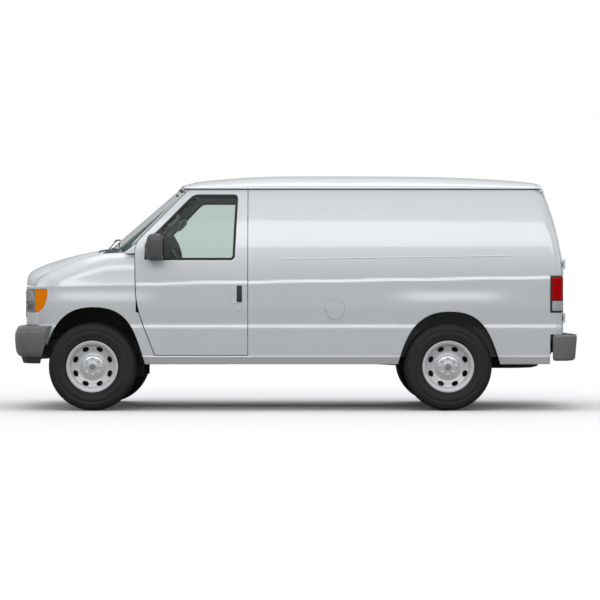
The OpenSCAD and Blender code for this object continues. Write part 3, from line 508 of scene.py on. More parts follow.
@dataclass(frozen=True)
class Finish:
    """An opaque finish with wear, dust and grain."""

    name: str
    color: tuple[float, float, float]
    rough: float = 0.4
    metal: float = 0.0
    coat: float = 0.0
    bump: float = 0.05
    grain: Noise = Noise.MEDIUM
    dust: float = 0.2
    mottle: float = 0.25

    def material(self) -> bpy.types.Material:
        """The finish as a material, built on first use.

        Returns:
            The material.
        """
        m = bpy.data.materials.get(self.name)
        if m:
            return m
        m = bpy.data.materials.new(self.name)
        m.use_nodes = True
        n, link = m.node_tree.nodes, m.node_tree.links.new
        p = n["Principled BSDF"]
        p.inputs["Metallic"].default_value = self.metal
        p.inputs["Coat Weight"].default_value = self.coat
        p.inputs["Coat Roughness"].default_value = 0.04
        g = n.new("ShaderNodeGroup")
        g.node_tree = wear_group()
        g.inputs["Color"].default_value = (*self.color, 1)
        g.inputs["Dust"].default_value = self.dust
        g.inputs["Mottle"].default_value = self.mottle
        g.inputs["Scale"].default_value = self.grain.value
        g.inputs["Roughness"].default_value = self.rough
        b = n.new("ShaderNodeBump")
        b.inputs["Strength"].default_value = self.bump
        b.inputs["Distance"].default_value = 0.001
        link(g.outputs["Color"], p.inputs["Base Color"])
        link(g.outputs["Rough"], p.inputs["Roughness"])
        link(g.outputs["Height"], b.inputs["Height"])
        link(b.outputs["Normal"], p.inputs["Normal"])
        return m


@dataclass(frozen=True)
class Lens:
    """A clear or tinted finish: window glass, or a ribbed lamp lens."""

    name: str
    color: tuple[float, float, float]
    transmission: float = 0.9
    rough: float = 0.03
    ribs: float = 0.0
    alpha: float = 1.0
    ior: float = 1.45

    def material(self) -> bpy.types.Material:
        """The finish as a material, built on first use.

        Returns:
            The material.
        """
        m = bpy.data.materials.get(self.name)
        if m:
            return m
        m = bpy.data.materials.new(self.name)
        m.use_nodes = True
        n, link = m.node_tree.nodes, m.node_tree.links.new
        p = n["Principled BSDF"]
        p.inputs["Base Color"].default_value = (*self.color, 1)
        p.inputs["Roughness"].default_value = self.rough
        p.inputs["Transmission Weight"].default_value = self.transmission
        p.inputs["IOR"].default_value = self.ior
        p.inputs["Alpha"].default_value = self.alpha
        if self.ribs:
            where = n.new("ShaderNodeTexCoord")
            wave = n.new("ShaderNodeTexWave")
            wave.bands_direction = "Z"
            wave.inputs["Scale"].default_value = self.ribs
            b = n.new("ShaderNodeBump")
            b.inputs["Strength"].default_value = 0.6
            b.inputs["Distance"].default_value = 0.002
            link(where.outputs["Object"], wave.inputs["Vector"])
            link(wave.outputs["Fac"], b.inputs["Height"])
            link(b.outputs["Normal"], p.inputs["Normal"])
        return m


PAINT = Finish("BodyPaint", (0.74, 0.755, 0.775), 0.34, 0.15, 1.0, 0.02, Noise.FINE, 0.12, 0.05)
BUMPER = Finish("BumperPaint", (0.15, 0.15, 0.152), 0.42, 0.0, 0.2, 0.12, Noise.FINE, 0.10, 0.3)
TRIM = Finish("TrimPlastic", (0.022, 0.023, 0.025), 0.5, 0.0, 0.0, 0.25, Noise.FINE, 0.10, 0.3)
MIRROR = Finish("MirrorPlastic", (0.085, 0.088, 0.092), 0.45, 0.0, 0.1, 0.2, Noise.FINE, 0.2, 0.3)
SCREEN_BORDER = Finish("ScreenBorder", (0.016, 0.030, 0.026), 0.12, 0.0, 0.5, 0.04, Noise.COARSE, 0.05, 0.1)
RUBBER = Finish("SealRubber", (0.010, 0.010, 0.011), 0.6, 0.0, 0.0, 0.2, Noise.FINE, 0.04, 0.3)
TYRE = Finish("TyreRubber", (0.007, 0.007, 0.0075), 0.66, 0.0, 0.0, 0.3, Noise.MEDIUM, 0.04, 0.5)
WHEEL = Finish("WheelPaint", (0.74, 0.75, 0.76), 0.36, 0.25, 0.3, 0.08, Noise.FINE, 0.2, 0.3)
CAP = Finish("HubCapChrome", (0.80, 0.81, 0.82), 0.26, 0.45, 0.2, 0.03, Noise.FINE, 0.15, 0.2)
CHASSIS = Finish("ChassisBlack", (0.012, 0.012, 0.013), 0.6, 0.1, 0.0, 0.5, Noise.MEDIUM, 0.12, 0.6)
IRON = Finish("CastIron", (0.10, 0.095, 0.09), 0.65, 0.6, 0.0, 0.9, Noise.MEDIUM, 0.2, 0.6)
PIPE = Finish("ExhaustSteel", (0.30, 0.27, 0.24), 0.5, 0.85, 0.0, 0.4, Noise.MEDIUM, 0.3, 0.7)
FLOOR = Finish("FloorPaint", (0.16, 0.165, 0.17), 0.55, 0.1, 0.0, 0.4, Noise.MEDIUM, 0.3, 0.5)
DASH = Finish("DashPlastic", (0.10, 0.105, 0.11), 0.6, 0.0, 0.0, 0.6, Noise.FINE, 0.0, 0.3)
INNER = Finish("InnerPaint", (0.42, 0.43, 0.44), 0.5, 0.1, 0.2, 0.1, Noise.MEDIUM, 0.2, 0.3)
CLOTH = Finish("SeatCloth", (0.17, 0.175, 0.185), 0.9, 0.0, 0.0, 1.0, Noise.FINE, 0.0, 0.5)
REFLECTOR = Finish("LampReflector", (0.86, 0.87, 0.88), 0.12, 0.95, 0.0, 0.05, Noise.MEDIUM, 0.0, 0.1)
WHITE_PLATE = Finish("BlankPlate", (0.72, 0.73, 0.73), 0.35, 0.1, 0.4, 0.05, Noise.FINE, 0.15, 0.1)
CAP_CENTRE = Finish("HubCapCentre", (0.30, 0.31, 0.33), 0.35, 0.3, 0.3, 0.05, Noise.FINE, 0.15, 0.2)
SILVER = Finish("MirrorGlass", (0.75, 0.77, 0.78), 0.02, 1.0, 0.0, 0.0, Noise.COARSE, 0.0, 0.0)
GLASS = Lens("WindowGlass", (0.86, 0.94, 0.91), 0.97, 0.0, ior=1.14)
SCREEN = Lens("WindscreenGlass", (0.20, 0.30, 0.26), 0.97, 0.0, ior=1.015)
CLEAR = Lens("ClearLens", (0.93, 0.94, 0.95), 0.85, 0.06, 22)
AMBER = Lens("AmberLens", (1.0, 0.26, 0.0), 0.0, 0.2, 22, ior=1.12)
RED = Lens("RedLens", (0.46, 0.001, 0.002), 0.0, 0.2, 22, ior=1.12)
WHITE_LENS = Lens("WhiteLens", (0.85, 0.86, 0.87), 0.5, 0.1, 22)


# ---- mesh helpers ----
def grid_slab(nu: int, nv: int) -> Mesh:
    """A flat closed slab on the unit square in X and Z, with y 0 outside and 1 inside.

    Args:
        nu: cells along X.
        nv: cells along Z.

    Returns:
        The slab.
    """
    bm = bmesh.new()
    bmesh.ops.create_grid(bm, x_segments=nu, y_segments=nv, size=0.5)
    bmesh.ops.rotate(bm, verts=bm.verts, matrix=Matrix.Rotation(math.radians(90), 3, "X"))
    bmesh.ops.translate(bm, verts=bm.verts, vec=(0.5, 0, 0.5))
    out = bmesh.ops.extrude_face_region(bm, geom=bm.faces[:])
    bmesh.ops.translate(bm, verts=[v for v in out["geom"] if isinstance(v, bmesh.types.BMVert)],
        vec=(0, 1, 0))
    return bm


def wrap(bm: Mesh, place: Grid) -> Mesh:
    """Bends a slab to a surface.

    Args:
        bm: a grid_slab.
        place: gives the new place in millimetres.

    Returns:
        The shaped mesh.
    """
    for v in bm.verts:
        v.co = place(v.co.x, v.co.z, v.co.y) * MM
    bmesh.ops.recalc_face_normals(bm, faces=bm.faces)
    return bm


def prism(points: Iterable[Point], low: float, high: float, axis: str = "Y") -> Mesh:
    """A closed prism with an outline in millimetres.

    Args:
        points: the outline, as (x, z) for axis Y, (y, z) for axis X and (x, y) for axis Z.
        low: where it starts along the axis.
        high: where it ends.
        axis: the axis that it runs along.

    Returns:
        The prism.
    """
    at = {"Y": lambda a, b, d: (a, d, b), "X": lambda a, b, d: (d, a, b),
        "Z": lambda a, b, d: (a, b, d)}[axis]
    bm = bmesh.new()
    bm.faces.new([bm.verts.new(Vector(at(a, b, low)) * MM) for a, b in points])
    out = bmesh.ops.extrude_face_region(bm, geom=bm.faces[:])
    bmesh.ops.translate(bm, verts=[v for v in out["geom"] if isinstance(v, bmesh.types.BMVert)],
        vec=Vector(at(0, 0, high - low)) * MM)
    bmesh.ops.recalc_face_normals(bm, faces=bm.faces)
    return bm


def rounded(points: Sequence[Point], radius: float, steps: int = 5) -> list[Point]:
    """An outline with its corners rounded.

    Args:
        points: the corners in order.
        radius: the rounding's reach along each side.
        steps: segments a corner.

    Returns:
        The rounded outline.
    """
    out = []
    for i, p in enumerate(points):
        a, b = Vector(points[i - 1]), Vector(points[(i + 1) % len(points)])
        c = Vector(p)
        start = c + (a - c).normalized() * min(radius, (a - c).length * 0.45)
        end = c + (b - c).normalized() * min(radius, (b - c).length * 0.45)
        for k in range(steps + 1):
            t = k / steps
            out.append(tuple(start * (1 - t) ** 2 + c * 2 * t * (1 - t) + end * t * t))
    return out


def grown(points: Sequence[Point], d: float) -> list[Point]:
    """An outline moved outwards.

    Args:
        points: the outline.
        d: how far outwards, or inwards if negative.

    Returns:
        The new outline.
    """
    n = len(points)
    area = sum(points[i - 1][0] * points[i][1] - points[i][0] * points[i - 1][1] for i in range(n))
    sign = 1 if area > 0 else -1
    out = []
    for i, p in enumerate(points):
        a, b, c = Vector(points[i - 1]), Vector(points[(i + 1) % n]), Vector(p)
        n1 = Vector(((c - a).y, -(c - a).x)).normalized() * sign
        n2 = Vector(((b - c).y, -(b - c).x)).normalized() * sign
        m = n1 + n2
        m = m.normalized() / max(0.5, m.normalized().dot(n1)) if m.length > 1e-6 else n1
        out.append(tuple(c + m * d))
    return out


def circle(x: float, z: float, r: float, n: int) -> list[Point]:
    """n points round a centre."""
    return [(x + r * math.cos(a), z + r * math.sin(a)) for a in (i * math.tau / n for i in range(n))]


def rect(x0: float, z0: float, x1: float, z1: float, radius: float) -> list[Point]:
    """A rectangle's outline with rounded corners."""
    return rounded([(x0, z0), (x1, z0), (x1, z1), (x0, z1)], radius)


def as_object(name: str, bm: Mesh) -> bpy.types.Object:
    """A new object in the scene.

    Args:
        name: the object's name.
        bm: the mesh, which is freed.

    Returns:
        The object.
    """
    mesh = bpy.data.meshes.new(name)
    bm.to_mesh(mesh)
    bm.free()
    obj = bpy.data.objects.new(name, mesh)
    bpy.context.scene.collection.objects.link(obj)
    return obj


def carve(bm: Mesh, *cutters: Mesh, within: Mesh | None = None) -> Mesh:
    """Cuts a mesh with closed meshes, by exact booleans.

    Args:
        bm: the mesh, which is used up.
        cutters: what is taken away.
        within: what the mesh is first trimmed to.

    Returns:
        The carved mesh.
    """
    obj = as_object("carving", bm)
    spare = []
    tools = [] if within is None else [("INTERSECT", within)]
    for kind, tool in tools + [("DIFFERENCE", c) for c in cutters]:
        cutter = as_object("cutter", tool)
        mod = obj.modifiers.new("cut", "BOOLEAN")
        mod.operation = kind
        mod.solver = "EXACT"
        mod.object = cutter
        spare.append(cutter)
    out = bmesh.new()
    out.from_object(obj, bpy.context.evaluated_depsgraph_get())
    for o in [obj, *spare]:
        mesh = o.data
        bpy.data.objects.remove(o)
        bpy.data.meshes.remove(mesh)
    bmesh.ops.remove_doubles(out, verts=out.verts, dist=1e-5)
    return out


def soften(bm: Mesh, width: float, angle: float = 50, segments: int = 2) -> Mesh:
    """Rounds the sharp edges.

    Args:
        bm: the mesh, which is changed.
        width: the bevel's reach in millimetres.
        angle: edges sharper than this are bevelled, in degrees.
        segments: facets a bevel.

    Returns:
        The same mesh.
    """
    edges = [e for e in bm.edges if len(e.link_faces) == 2 and e.calc_face_angle(0) > math.radians(angle)]
    bmesh.ops.bevel(bm, geom=edges, offset=width * MM, offset_type="OFFSET", segments=segments, profile=0.5,
        affect="EDGES", clamp_overlap=True, material=-1)
    return bm


def rotate(bm: Mesh, angle: float, axis: str) -> None:
    """Turns a mesh round an axis through the origin, by radians."""
    bmesh.ops.rotate(bm, verts=bm.verts, matrix=Matrix.Rotation(angle, 3, axis))


def shift(bm: Mesh, by: Sequence[float]) -> None:
    """Moves a mesh, by millimetres."""
    bmesh.ops.translate(bm, verts=bm.verts, vec=Vector(by) * MM)


def flipped(bm: Mesh) -> Mesh:
    """A copy mirrored to the other side of the van.

    Args:
        bm: the mesh, which stays.

    Returns:
        The copy.
    """
    out = bm.copy()
    bmesh.ops.scale(out, verts=out.verts, vec=(1, -1, 1))
    bmesh.ops.reverse_faces(out, faces=out.faces)
    return out


def joined(*parts: Mesh) -> Mesh:
    """Joins meshes.

    Args:
        parts: the meshes, which are freed.

    Returns:
        One mesh.
    """
    out = bmesh.new()
    for part in parts:
        mesh = bpy.data.meshes.new("joining")
        part.to_mesh(mesh)
        part.free()
        out.from_mesh(mesh)
        bpy.data.meshes.remove(mesh)
    return out


def block(low: Sequence[float], high: Sequence[float], radius: float = 6, segments: int = 3) -> Mesh:
    """A box with rounded edges between two corners, in millimetres.

    Args:
        low: the low corner.
        high: the high corner.
        radius: the edges' rounding, 0 for none.
        segments: facets a rounding.

    Returns:
        The box.
    """
    bm = bmesh.new()
    bmesh.ops.create_cube(bm, size=1)
    size = Vector(high) - Vector(low)
    bmesh.ops.scale(bm, verts=bm.verts, vec=size * MM)
    bmesh.ops.translate(bm, verts=bm.verts, vec=(Vector(high) + Vector(low)) / 2 * MM)
    if radius:
        bmesh.ops.bevel(bm, geom=bm.edges[:], offset=min(radius, min(size) * 0.45) * MM,
            offset_type="OFFSET", segments=segments, profile=0.5, affect="EDGES", clamp_overlap=True,
            material=-1)
    return bm


def rod(a: Sequence[float], b: Sequence[float], radius: float, segments: int = 20,
        tip: float | None = None) -> Mesh:
    """A round bar between two points, in millimetres.

    Args:
        a: where it starts.
        b: where it ends.
        radius: at a, and at b if there is no tip.
        segments: facets round.
        tip: the radius at b.

    Returns:
        The bar.
    """
    start, end = Vector(a), Vector(b)
    bm = bmesh.new()
    bmesh.ops.create_cone(bm, cap_ends=True, segments=segments, radius1=radius * MM,
        radius2=(radius if tip is None else tip) * MM, depth=(end - start).length * MM)
    turn = Vector((0, 0, 1)).rotation_difference((end - start).normalized()).to_matrix()
    bmesh.ops.rotate(bm, verts=bm.verts, matrix=turn)
    bmesh.ops.translate(bm, verts=bm.verts, vec=(start + end) / 2 * MM)
    return bm


def lathe(profile: Sequence[Point], centre: Sequence[float], steps: int = 96, outward: int = 1) -> Mesh:
    """Spins a profile round a line along Y.

    Args:
        profile: (radius, distance along the axis) pairs in millimetres, closed if the ends meet.
        centre: the axis's point, in millimetres.
        steps: segments round.
        outward: 1 for the left side, -1 for the right.

    Returns:
        The turned mesh.
    """
    bm = bmesh.new()
    c = Vector(centre)
    verts = [bm.verts.new((c + Vector((0, outward * d, r))) * MM) for r, d in profile]
    edges = [bm.edges.new(p) for p in zip(verts, verts[1:])]
    bmesh.ops.spin(bm, geom=verts + edges, cent=c * MM, axis=(0, 1, 0), angle=math.tau, steps=steps,
        use_merge=True)
    bmesh.ops.remove_doubles(bm, verts=bm.verts, dist=1e-5)
    bmesh.ops.holes_fill(bm, edges=[e for e in bm.edges if e.is_boundary])
    bmesh.ops.recalc_face_normals(bm, faces=bm.faces)
    return bm


def piece(name: str, bm: Mesh, finish: Finish | Lens, body: str = "van_body",
        replaces: Sequence[str] = (), angle: float = 32) -> bpy.types.Object:
    """Finishes a piece: its normals, shading, material and body.

    Args:
        name: the piece's name.
        bm: its mesh, which is freed.
        finish: what it is made of.
        body: the CAD body that it rides on.
        replaces: the CAD nodes that it stands for.
        angle: edges sharper than this stay crisp, in degrees.

    Returns:
        The object.
    """
    bmesh.ops.triangulate(bm, faces=[f for f in bm.faces if len(f.verts) > 4])
    obj = as_object(name, bm)
    obj.data.polygons.foreach_set("use_smooth", [True] * len(obj.data.polygons))
    obj.data.set_sharp_from_angle(angle=math.radians(angle))
    obj.data.materials.append(finish.material())
    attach(obj, body)
    if replaces:
        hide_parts(*replaces)
    LOG.info("%s: %d faces on %s", name, len(obj.data.polygons), body)
    return obj


# ---- the body ----
@dataclass
class Shell:
    """The pressed body panels."""

    door_t: float = 70
    cargo_t: float = 55
    hinge_zs: tuple[float, float] = (700, 1330)
    rear_zs: tuple[float, float] = (846, 1335)

    def side_point(self, x: float, z: float, depth: float) -> Vector:
        """A place on the left side or round its rear corner.

        Args:
            x: along the van; behind the corner it runs on round the rear.
            z: the height.
            depth: how far under the skin.

        Returns:
            The place in millimetres.
        """
        lean, xc = V.lean_at(z), V.tail + V.corner
        at = x + lean * smooth((xc + 420 - x) / 420)
        if x >= xc:
            return Vector((at, V.side_y(at, z) - depth, z))
        turn = (xc - x) / V.corner
        r = V.corner - depth
        y = V.side_y(xc + lean, z) - V.corner
        a = min(turn, math.pi / 2)
        past = max(0.0, turn - math.pi / 2) * V.corner
        return Vector((xc + lean - r * math.sin(a) - past * 0.13, y + r * math.cos(a) - past, z))

    def side_sheet(self, x0: float, x1: float, z0: float, z1: float, t: float, nu: int, nv: int,
            sunk: float = 0) -> Mesh:
        """A closed slab of the left side.

        Args:
            x0, x1: its ends.
            z0, z1: its foot and top.
            t: its thickness.
            nu, nv: cells along and up.
            sunk: how far its outer face is under the skin.

        Returns:
            The slab.
        """
        return wrap(grid_slab(nu, nv), lambda u, v, d: self.side_point(mix(x0, x1, u), mix(z0, z1, v),
            sunk + d * t))

    def panel_bead(self, front: float) -> Mesh:
        """The bead stamped below the upper panel, whose front corner turns up.

        Args:
            front: where it ends.

        Returns:
            The bead.
        """
        rear = V.tail + 412

        def at(u: float, v: float, d: float) -> Vector:
            """A place on the surface."""
            x = mix(front, rear, u ** 1.6)
            turn = clamp((x - front + 48) / 48)
            low = mix(1381, 1416, (175 - x) / 2383) + 46 * (1 - math.sqrt(max(0.0, 1 - turn * turn)))
            proud = 3.4 * math.sin(v * math.pi) * (1 - 0.6 * turn) * min(1.0, 0.1 + (x - rear) / 90)
            return self.side_point(x - 4 * turn * (v - 0.5), low + mix(-6, 6, v), mix(0.4 - proud, 4, d))

        return wrap(grid_slab(130, 6), at)

    def build_side(self) -> None:
        """Both body sides, with the wheel arches, door openings and lamp cuts."""
        corner = V.tail + V.corner
        for left in (True, False):
            bm = self.side_sheet(corner - V.corner * math.pi / 2 - 52, V.door_front + 16, V.sill,
                V.rail + 2, 26, 170, 120)
            cut: list[Mesh] = [prism(V.rear_arch(), *CUT_DEEP), prism(V.front_arch(), *CUT_DEEP),
                prism(grown(V.door(), V.gap), *CUT_SKIN),
                prism([(V.door_front + 12, V.rocker + 4), (V.door_front - 200, V.rocker + 4),
                (V.front_axle - 490, 1564), V.pillar_head, (V.pillar_head[0], 2100),
                (V.door_front + 90, 2100)], *CUT_SKIN),
                prism([(V.tail - 90, V.sill - 10), (V.tail + 118, V.sill - 10),
                (V.tail + 118, V.floor_top + 5), (V.tail - 90, V.floor_top + 5)], 300, 1100),
                block((V.tail - 100, V.half - 80, V.lamp_low - 2),
                (V.tail + 120, V.half + 60, V.lamp_low + 337), 0)]
            if left:
                ring = circle(*V.flap_at, 91, 48)
                cut.append(prism(ring, 800, 1100))
            else:
                cut.append(prism(rect(-752, V.rocker + 4, 368, V.door_top + 6, 60), 800, 1100))
            bm = carve(bm, *cut)
            bm = joined(soften(bm, 2.5, 55), self.panel_bead(172 if left else -800))
            if not left:
                bm = flipped(bm)
            name = "left_side" if left else "right_side"
            piece(f"{name}_skin", bm, PAINT, replaces=(name,))
            pins = []
            for z in self.rear_zs:
                pins += [rod((V.tail - 16, 900, z - 45), (V.tail - 16, 900, z + 45), 9),
                    block((V.tail - 14, 892, z - 44), (V.tail + 14, 908, z - 32), 2),
                    block((V.tail - 14, 892, z + 32), (V.tail + 14, 908, z + 44), 2)]
            bm = joined(*pins)
            piece(f"{name}_hinge_pins", bm if left else flipped(bm), PAINT)

    def door_leaf(self, name: str, body: str, outline: Sequence[Point], t: float,
            holes: Sequence[Sequence[Point]], left: bool, nu: int = 60, nv: int = 90) -> None:
        """Adds a door's shell.

        Args:
            name: the CAD node.
            body: its body.
            outline: the side view.
            t: its thickness.
            holes: the windows.
            left: which side.
            nu, nv: cells along and up.
        """
        xs, zs = [p[0] for p in outline], [p[1] for p in outline]
        bm = self.side_sheet(min(xs) - 8, max(xs) + 8, min(zs) - 8, max(zs) + 8, t, nu, nv)
        bm = carve(bm, *(prism(h, *CUT_DEEP) for h in holes), within=prism(outline, *CUT_SKIN))
        bm = soften(bm, 3, 55)
        piece(f"{name}_shell", bm if left else flipped(bm), PAINT, body, replaces=(name,))

    def build_doors(self) -> None:
        """The cab doors, the cargo doors, their seals, glass and handles."""
        window = rounded(V.window(), 45)
        for left, side in ((True, "left"), (False, "right")):
            body = f"door_{side}"
            outline = V.door()
            self.door_leaf(f"{side}_door", body, outline, self.door_t, [window], left)
            flip = (lambda b: b) if left else flipped
            seal = carve(self.side_sheet(V.front_axle - 1345, V.front_axle - 465, V.belt - 14, V.rail - 40,
                16, 40, 40, 3), prism(grown(window, -23), *CUT_DEEP),
                within=prism(grown(window, 1), *CUT_SKIN))
            piece(f"{side}_window_seal", flip(soften(seal, 2)), RUBBER, body)
            pane = carve(self.side_sheet(V.front_axle - 1345, V.front_axle - 465, V.belt - 14, V.rail - 40,
                5, 24, 24, 14), within=prism(grown(window, -6), *CUT_SKIN))
            piece(f"{side}_window_pane", flip(pane), GLASS, body, replaces=(f"{side}_door_glass",))
            y = V.side_y(540, 1065)
            cup = block((478, y - 16, 975), (598, y + 2.2, 1160), 12, 5)
            cup = carve(cup, block((486, y - 9, 984), (592, y + 30, 1151), 14, 5))
            paddle = joined(block((482, y - 12, 990), (532, y + 5, 1144), 9, 5),
                block((486, y - 14, 984), (560, y - 5, 1150), 4, 3))
            key = lathe([(0, -4), (14, -4), (14, 3), (11, 5), (4, 5), (3, 1), (0, 1)],
                (522, V.side_y(522, 919), 919), 32)
            piece(f"{side}_door_handle", flip(soften(cup, 1)), PAINT, body)
            piece(f"{side}_door_paddle", flip(paddle), TRIM, body)
            piece(f"{side}_door_lock", flip(key), CAP, body)
            card = self.side_sheet(V.door_rear + 30, V.front_axle - 500, 560, V.belt - 6, 8, 40, 40,
                self.door_t + 0.5)
            rest = block((560, V.side_y(700, 1080) - 150, 1040), (1020, V.side_y(700, 1080) - 72, 1090), 18,
                4)
            grab = rod((990, V.side_y(990, 1250) - 82, 1200), (960, V.side_y(960, 1250) - 110, 1290), 12)
            piece(f"{side}_door_card", flip(joined(card, rest, grab)), DASH, body)
        split = 368 - 640
        low, top = V.rocker + 10, V.door_top
        for node, body, x0, x1, hx in (("side_door_front", "cargo_door_front", split + 3, 362, 352),
                ("side_door_rear", "cargo_door_rear", -746, split - 3, -736)):
            self.door_leaf(node, body, rect(x0, low, x1, top, 44), self.cargo_t, [], False, 44, 110)
            knobs = [rod((hx, V.plan_half(hx) - 8, z - 45), (hx, V.plan_half(hx) - 8, z + 45), 9.2)
                for z in self.hinge_zs]
            piece(f"{node}_hinges", flipped(joined(*knobs)), PAINT, body)
            frame = [rect(x0 + 70, z0, x1 - 70, z1, 40) for z0, z1 in ((620, 1120), (1300, 1880))]
            ribs = carve(self.side_sheet(x0 + 20, x1 - 20, low + 40, top - 40, 6, 20, 50,
                self.cargo_t + 0.5), *(prism(o, *CUT_DEEP) for o in frame))
            piece(f"{node}_inner_frame", flipped(soften(ribs, 2)), INNER, body)
        y = V.side_y(300, 1065)
        cup = carve(block((238, y - 14, 983), (344, y + 2, 1147), 8, 4),
            block((250, y - 6, 996), (332, y + 30, 1134), 9))
        piece("cargo_door_handle", flipped(joined(soften(cup, 1.5),
            block((256, y - 8, 1010), (295, y + 1, 1122), 6, 4))), TRIM, "cargo_door_front")

    def build_roof(self) -> None:
        """The roof skin, drip rails, the dark strips under them that paint their shadow, and rear header.
        """
        x0, x1 = V.tail + V.rear_lean - 34, V.front_axle - 772

        def place(u: float, v: float, d: float) -> Vector:
            """A place on the roof skin."""
            s = math.sin((v - 0.5) * math.pi)
            x = mix(x0, x1, u)
            y = s * V.roof_half(x)
            z = V.roof_z(x, y)
            ahead = (x - 62 * s * s * smooth(x / 900) if x > 0
                else x + V.rear_bow * s * s * smooth(-x / 2000))
            drop = 16 * smooth((x0 + 60 - x) / 60) ** 2
            return Vector((ahead, y * (1 - 0.02 * d), max(z - drop - 24 * d, V.rail - 3)))

        piece("roof_skin", wrap(grid_slab(120, 72), place), PAINT, replaces=("roof",), angle=50)

        def header(u: float, v: float, d: float) -> Vector:
            """A place on the panel above the rear doors."""
            y = mix(-1, 1, u) * (V.roof_half(V.tail + V.rear_lean) - 10)
            z = mix(V.rail - 34, V.roof_z(V.tail + V.rear_lean, y) - 8, v)
            return Vector((V.rear_x(y, z) + d * 60 + 14 * v ** 6, y, z))

        piece("rear_header", soften(wrap(grid_slab(60, 8), header), 2), PAINT)
        for left in (True, False):
            def rail(u: float, v: float, d: float) -> Vector:
                """A place on the drip rail."""
                x = mix(V.tail + V.rear_lean + 6, V.pillar_head[0] + 4, u)
                y = V.plan_half(x) - V.tumble
                return Vector((x, y - 8 + (1 - d) * (24 if v < 0.9 else 20), V.rail - 5 + 13 * v))
            bm = soften(wrap(grid_slab(80, 2), rail), 2)
            piece(f"{'left' if left else 'right'}_drip_rail", bm if left else flipped(bm), PAINT)

            def rail_shadow_strip(u: float, v: float, d: float) -> Vector:
                """A place on the dark strip under the drip rail, which paints the rail's shadow."""
                p = rail(u, 0, 0.25 + 0.5 * d)
                return p + Vector((0, 0, -1 - 6 * v))
            # Painted shadow: a thin dark strip hung just below each drip rail, where the rail's shadow
            # falls.
            bm = wrap(grid_slab(80, 1), rail_shadow_strip)
            piece(f"{'left' if left else 'right'}_drip_rail_painted_shadow", bm if left else flipped(bm), RUBBER)

    def build_nose(self) -> None:
        """Fenders, hood, nose panel and cowl."""
        turn_x = V.nose - 330
        y_turn = V.outline_y(turn_x)
        share = 0.24

        def fender(u: float, v: float, d: float) -> Vector:
            """A place on the left fender."""
            if u < 0.72:
                x = mix(V.door_front - 172, turn_x, u / 0.72)
                y, round_off = V.plan_half(x), 0.0
            else:
                y = mix(y_turn, V.fender_front * V.nose_half, (u - 0.72) / 0.28)
                x, round_off = V.outline_x(y), smooth((u - 0.72) / 0.15) * 0.75
            t = 20 * d
            zc = V.crease_z(x)
            if v < 1 - share:
                z = mix(V.sill, zc, v / (1 - share))
                i = V.inset(x, z) - V.flare_at(x, z, V.front_axle - 40) + t
                return Vector((x - i * round_off, y - i * (1 - round_off / 2), z))
            s = 1 - (1.05 - V.hood_share) * (v - 1 + share) / share
            z = V.top_z(x, (y - 9) * s)
            return Vector((x - (9 + 160 * (1 - s)) * min(1, round_off / 0.75) - t * 0.4,
                y * s - 9 - t * 0.6, z - t * 0.8))

        hood_edge = ([V.hood_xy(0, mix(-1, 1, i / 12)) for i in range(13)]
            + [V.hood_xy(u / 10, 1) for u in range(1, 11)]
            + [V.hood_xy(1, mix(0.9, -1, i / 12)) for i in range(13)]
            + [V.hood_xy(1 - u / 10, -1) for u in range(1, 10)])
        cuts = [prism(V.front_arch(), *CUT_DEEP), prism(grown(V.front_lamp(), 1.5), *CUT_DEEP),
            prism(grown(V.door(), V.gap + 2), *CUT_DEEP),
            prism([(V.door_rear, V.sill - 20), (V.front_axle, V.sill - 20), (V.front_axle, V.rocker + 3.6),
            (V.door_rear, V.rocker + 3.6)], *CUT_DEEP),
            prism([(V.pillar_foot[0] + 9, V.pillar_foot[1]), (V.pillar_foot[0] + 9, 1864), V.pillar_head,
            (V.door_rear, 1500)], *CUT_DEEP), prism([(1411, 896), (1451, 896), (1451, 1014), (1411, 1014)],
            *CUT_DEEP), prism([(turn_x, V.sill - 20), (V.nose + 40, V.sill - 20),
            (V.nose + 40, V.rocker + 180), (V.nose - 250, V.rocker + 180)], *CUT_DEEP),
            prism(grown(hood_edge, V.gap), V.crease_front - 4, 1800, "Z")]
        left_fender = soften(carve(wrap(grid_slab(120, 110), fender), *cuts), 2.5, 55)
        right_fender = flipped(left_fender)
        piece("left_fender_skin", left_fender, PAINT, replaces=("front_fenders",))
        piece("right_fender_skin", right_fender, PAINT)

        def hood(u: float, v: float, d: float) -> Vector:
            """A place on the hood."""
            t = 0.97 * (1 - (1 - u) ** 1.5)
            s = mix(-1, 1, v)
            if u > 0.985:
                x, y = V.hood_xy(1, s)
                return Vector((V.outline_x(y) - 8 - 18 * d, y, V.crease_front + 6))
            x, y = V.hood_xy(t / 0.97 if u < 0.98 else 1, s)
            z = V.top_z(x, y)
            if abs(y) < 330:
                z -= 7 * smooth((330 - abs(y)) / 60) * smooth(t * 4) * smooth((0.97 - t) * 6)
            return Vector((x - 6 * d * t, y, z - 22 * d))

        piece("hood_skin", soften(wrap(grid_slab(70, 80), hood), 2.5, 55), PAINT, "hood",
            replaces=("hood",), angle=40)

        def wall(reach: float, t: float, z0: float, z1: float, out: float) -> Grid:
            """The nose panel or a slab parallel to it.

            Args:
                reach: the half-width as a share of the nose.
                t: the thickness.
                z0, z1: foot and top.
                out: how far it stands proud.

            Returns:
                Its grid function.
            """
            def at(u: float, v: float, d: float) -> Vector:
                """A place on the surface."""
                y = mix(-reach, reach, u) * V.nose_half
                deep = d * t
                return Vector((V.outline_x(y) - deep - 6 + out, y * (1 - deep / V.nose_half * 0.55),
                    mix(z0, z1, v)))
            return at

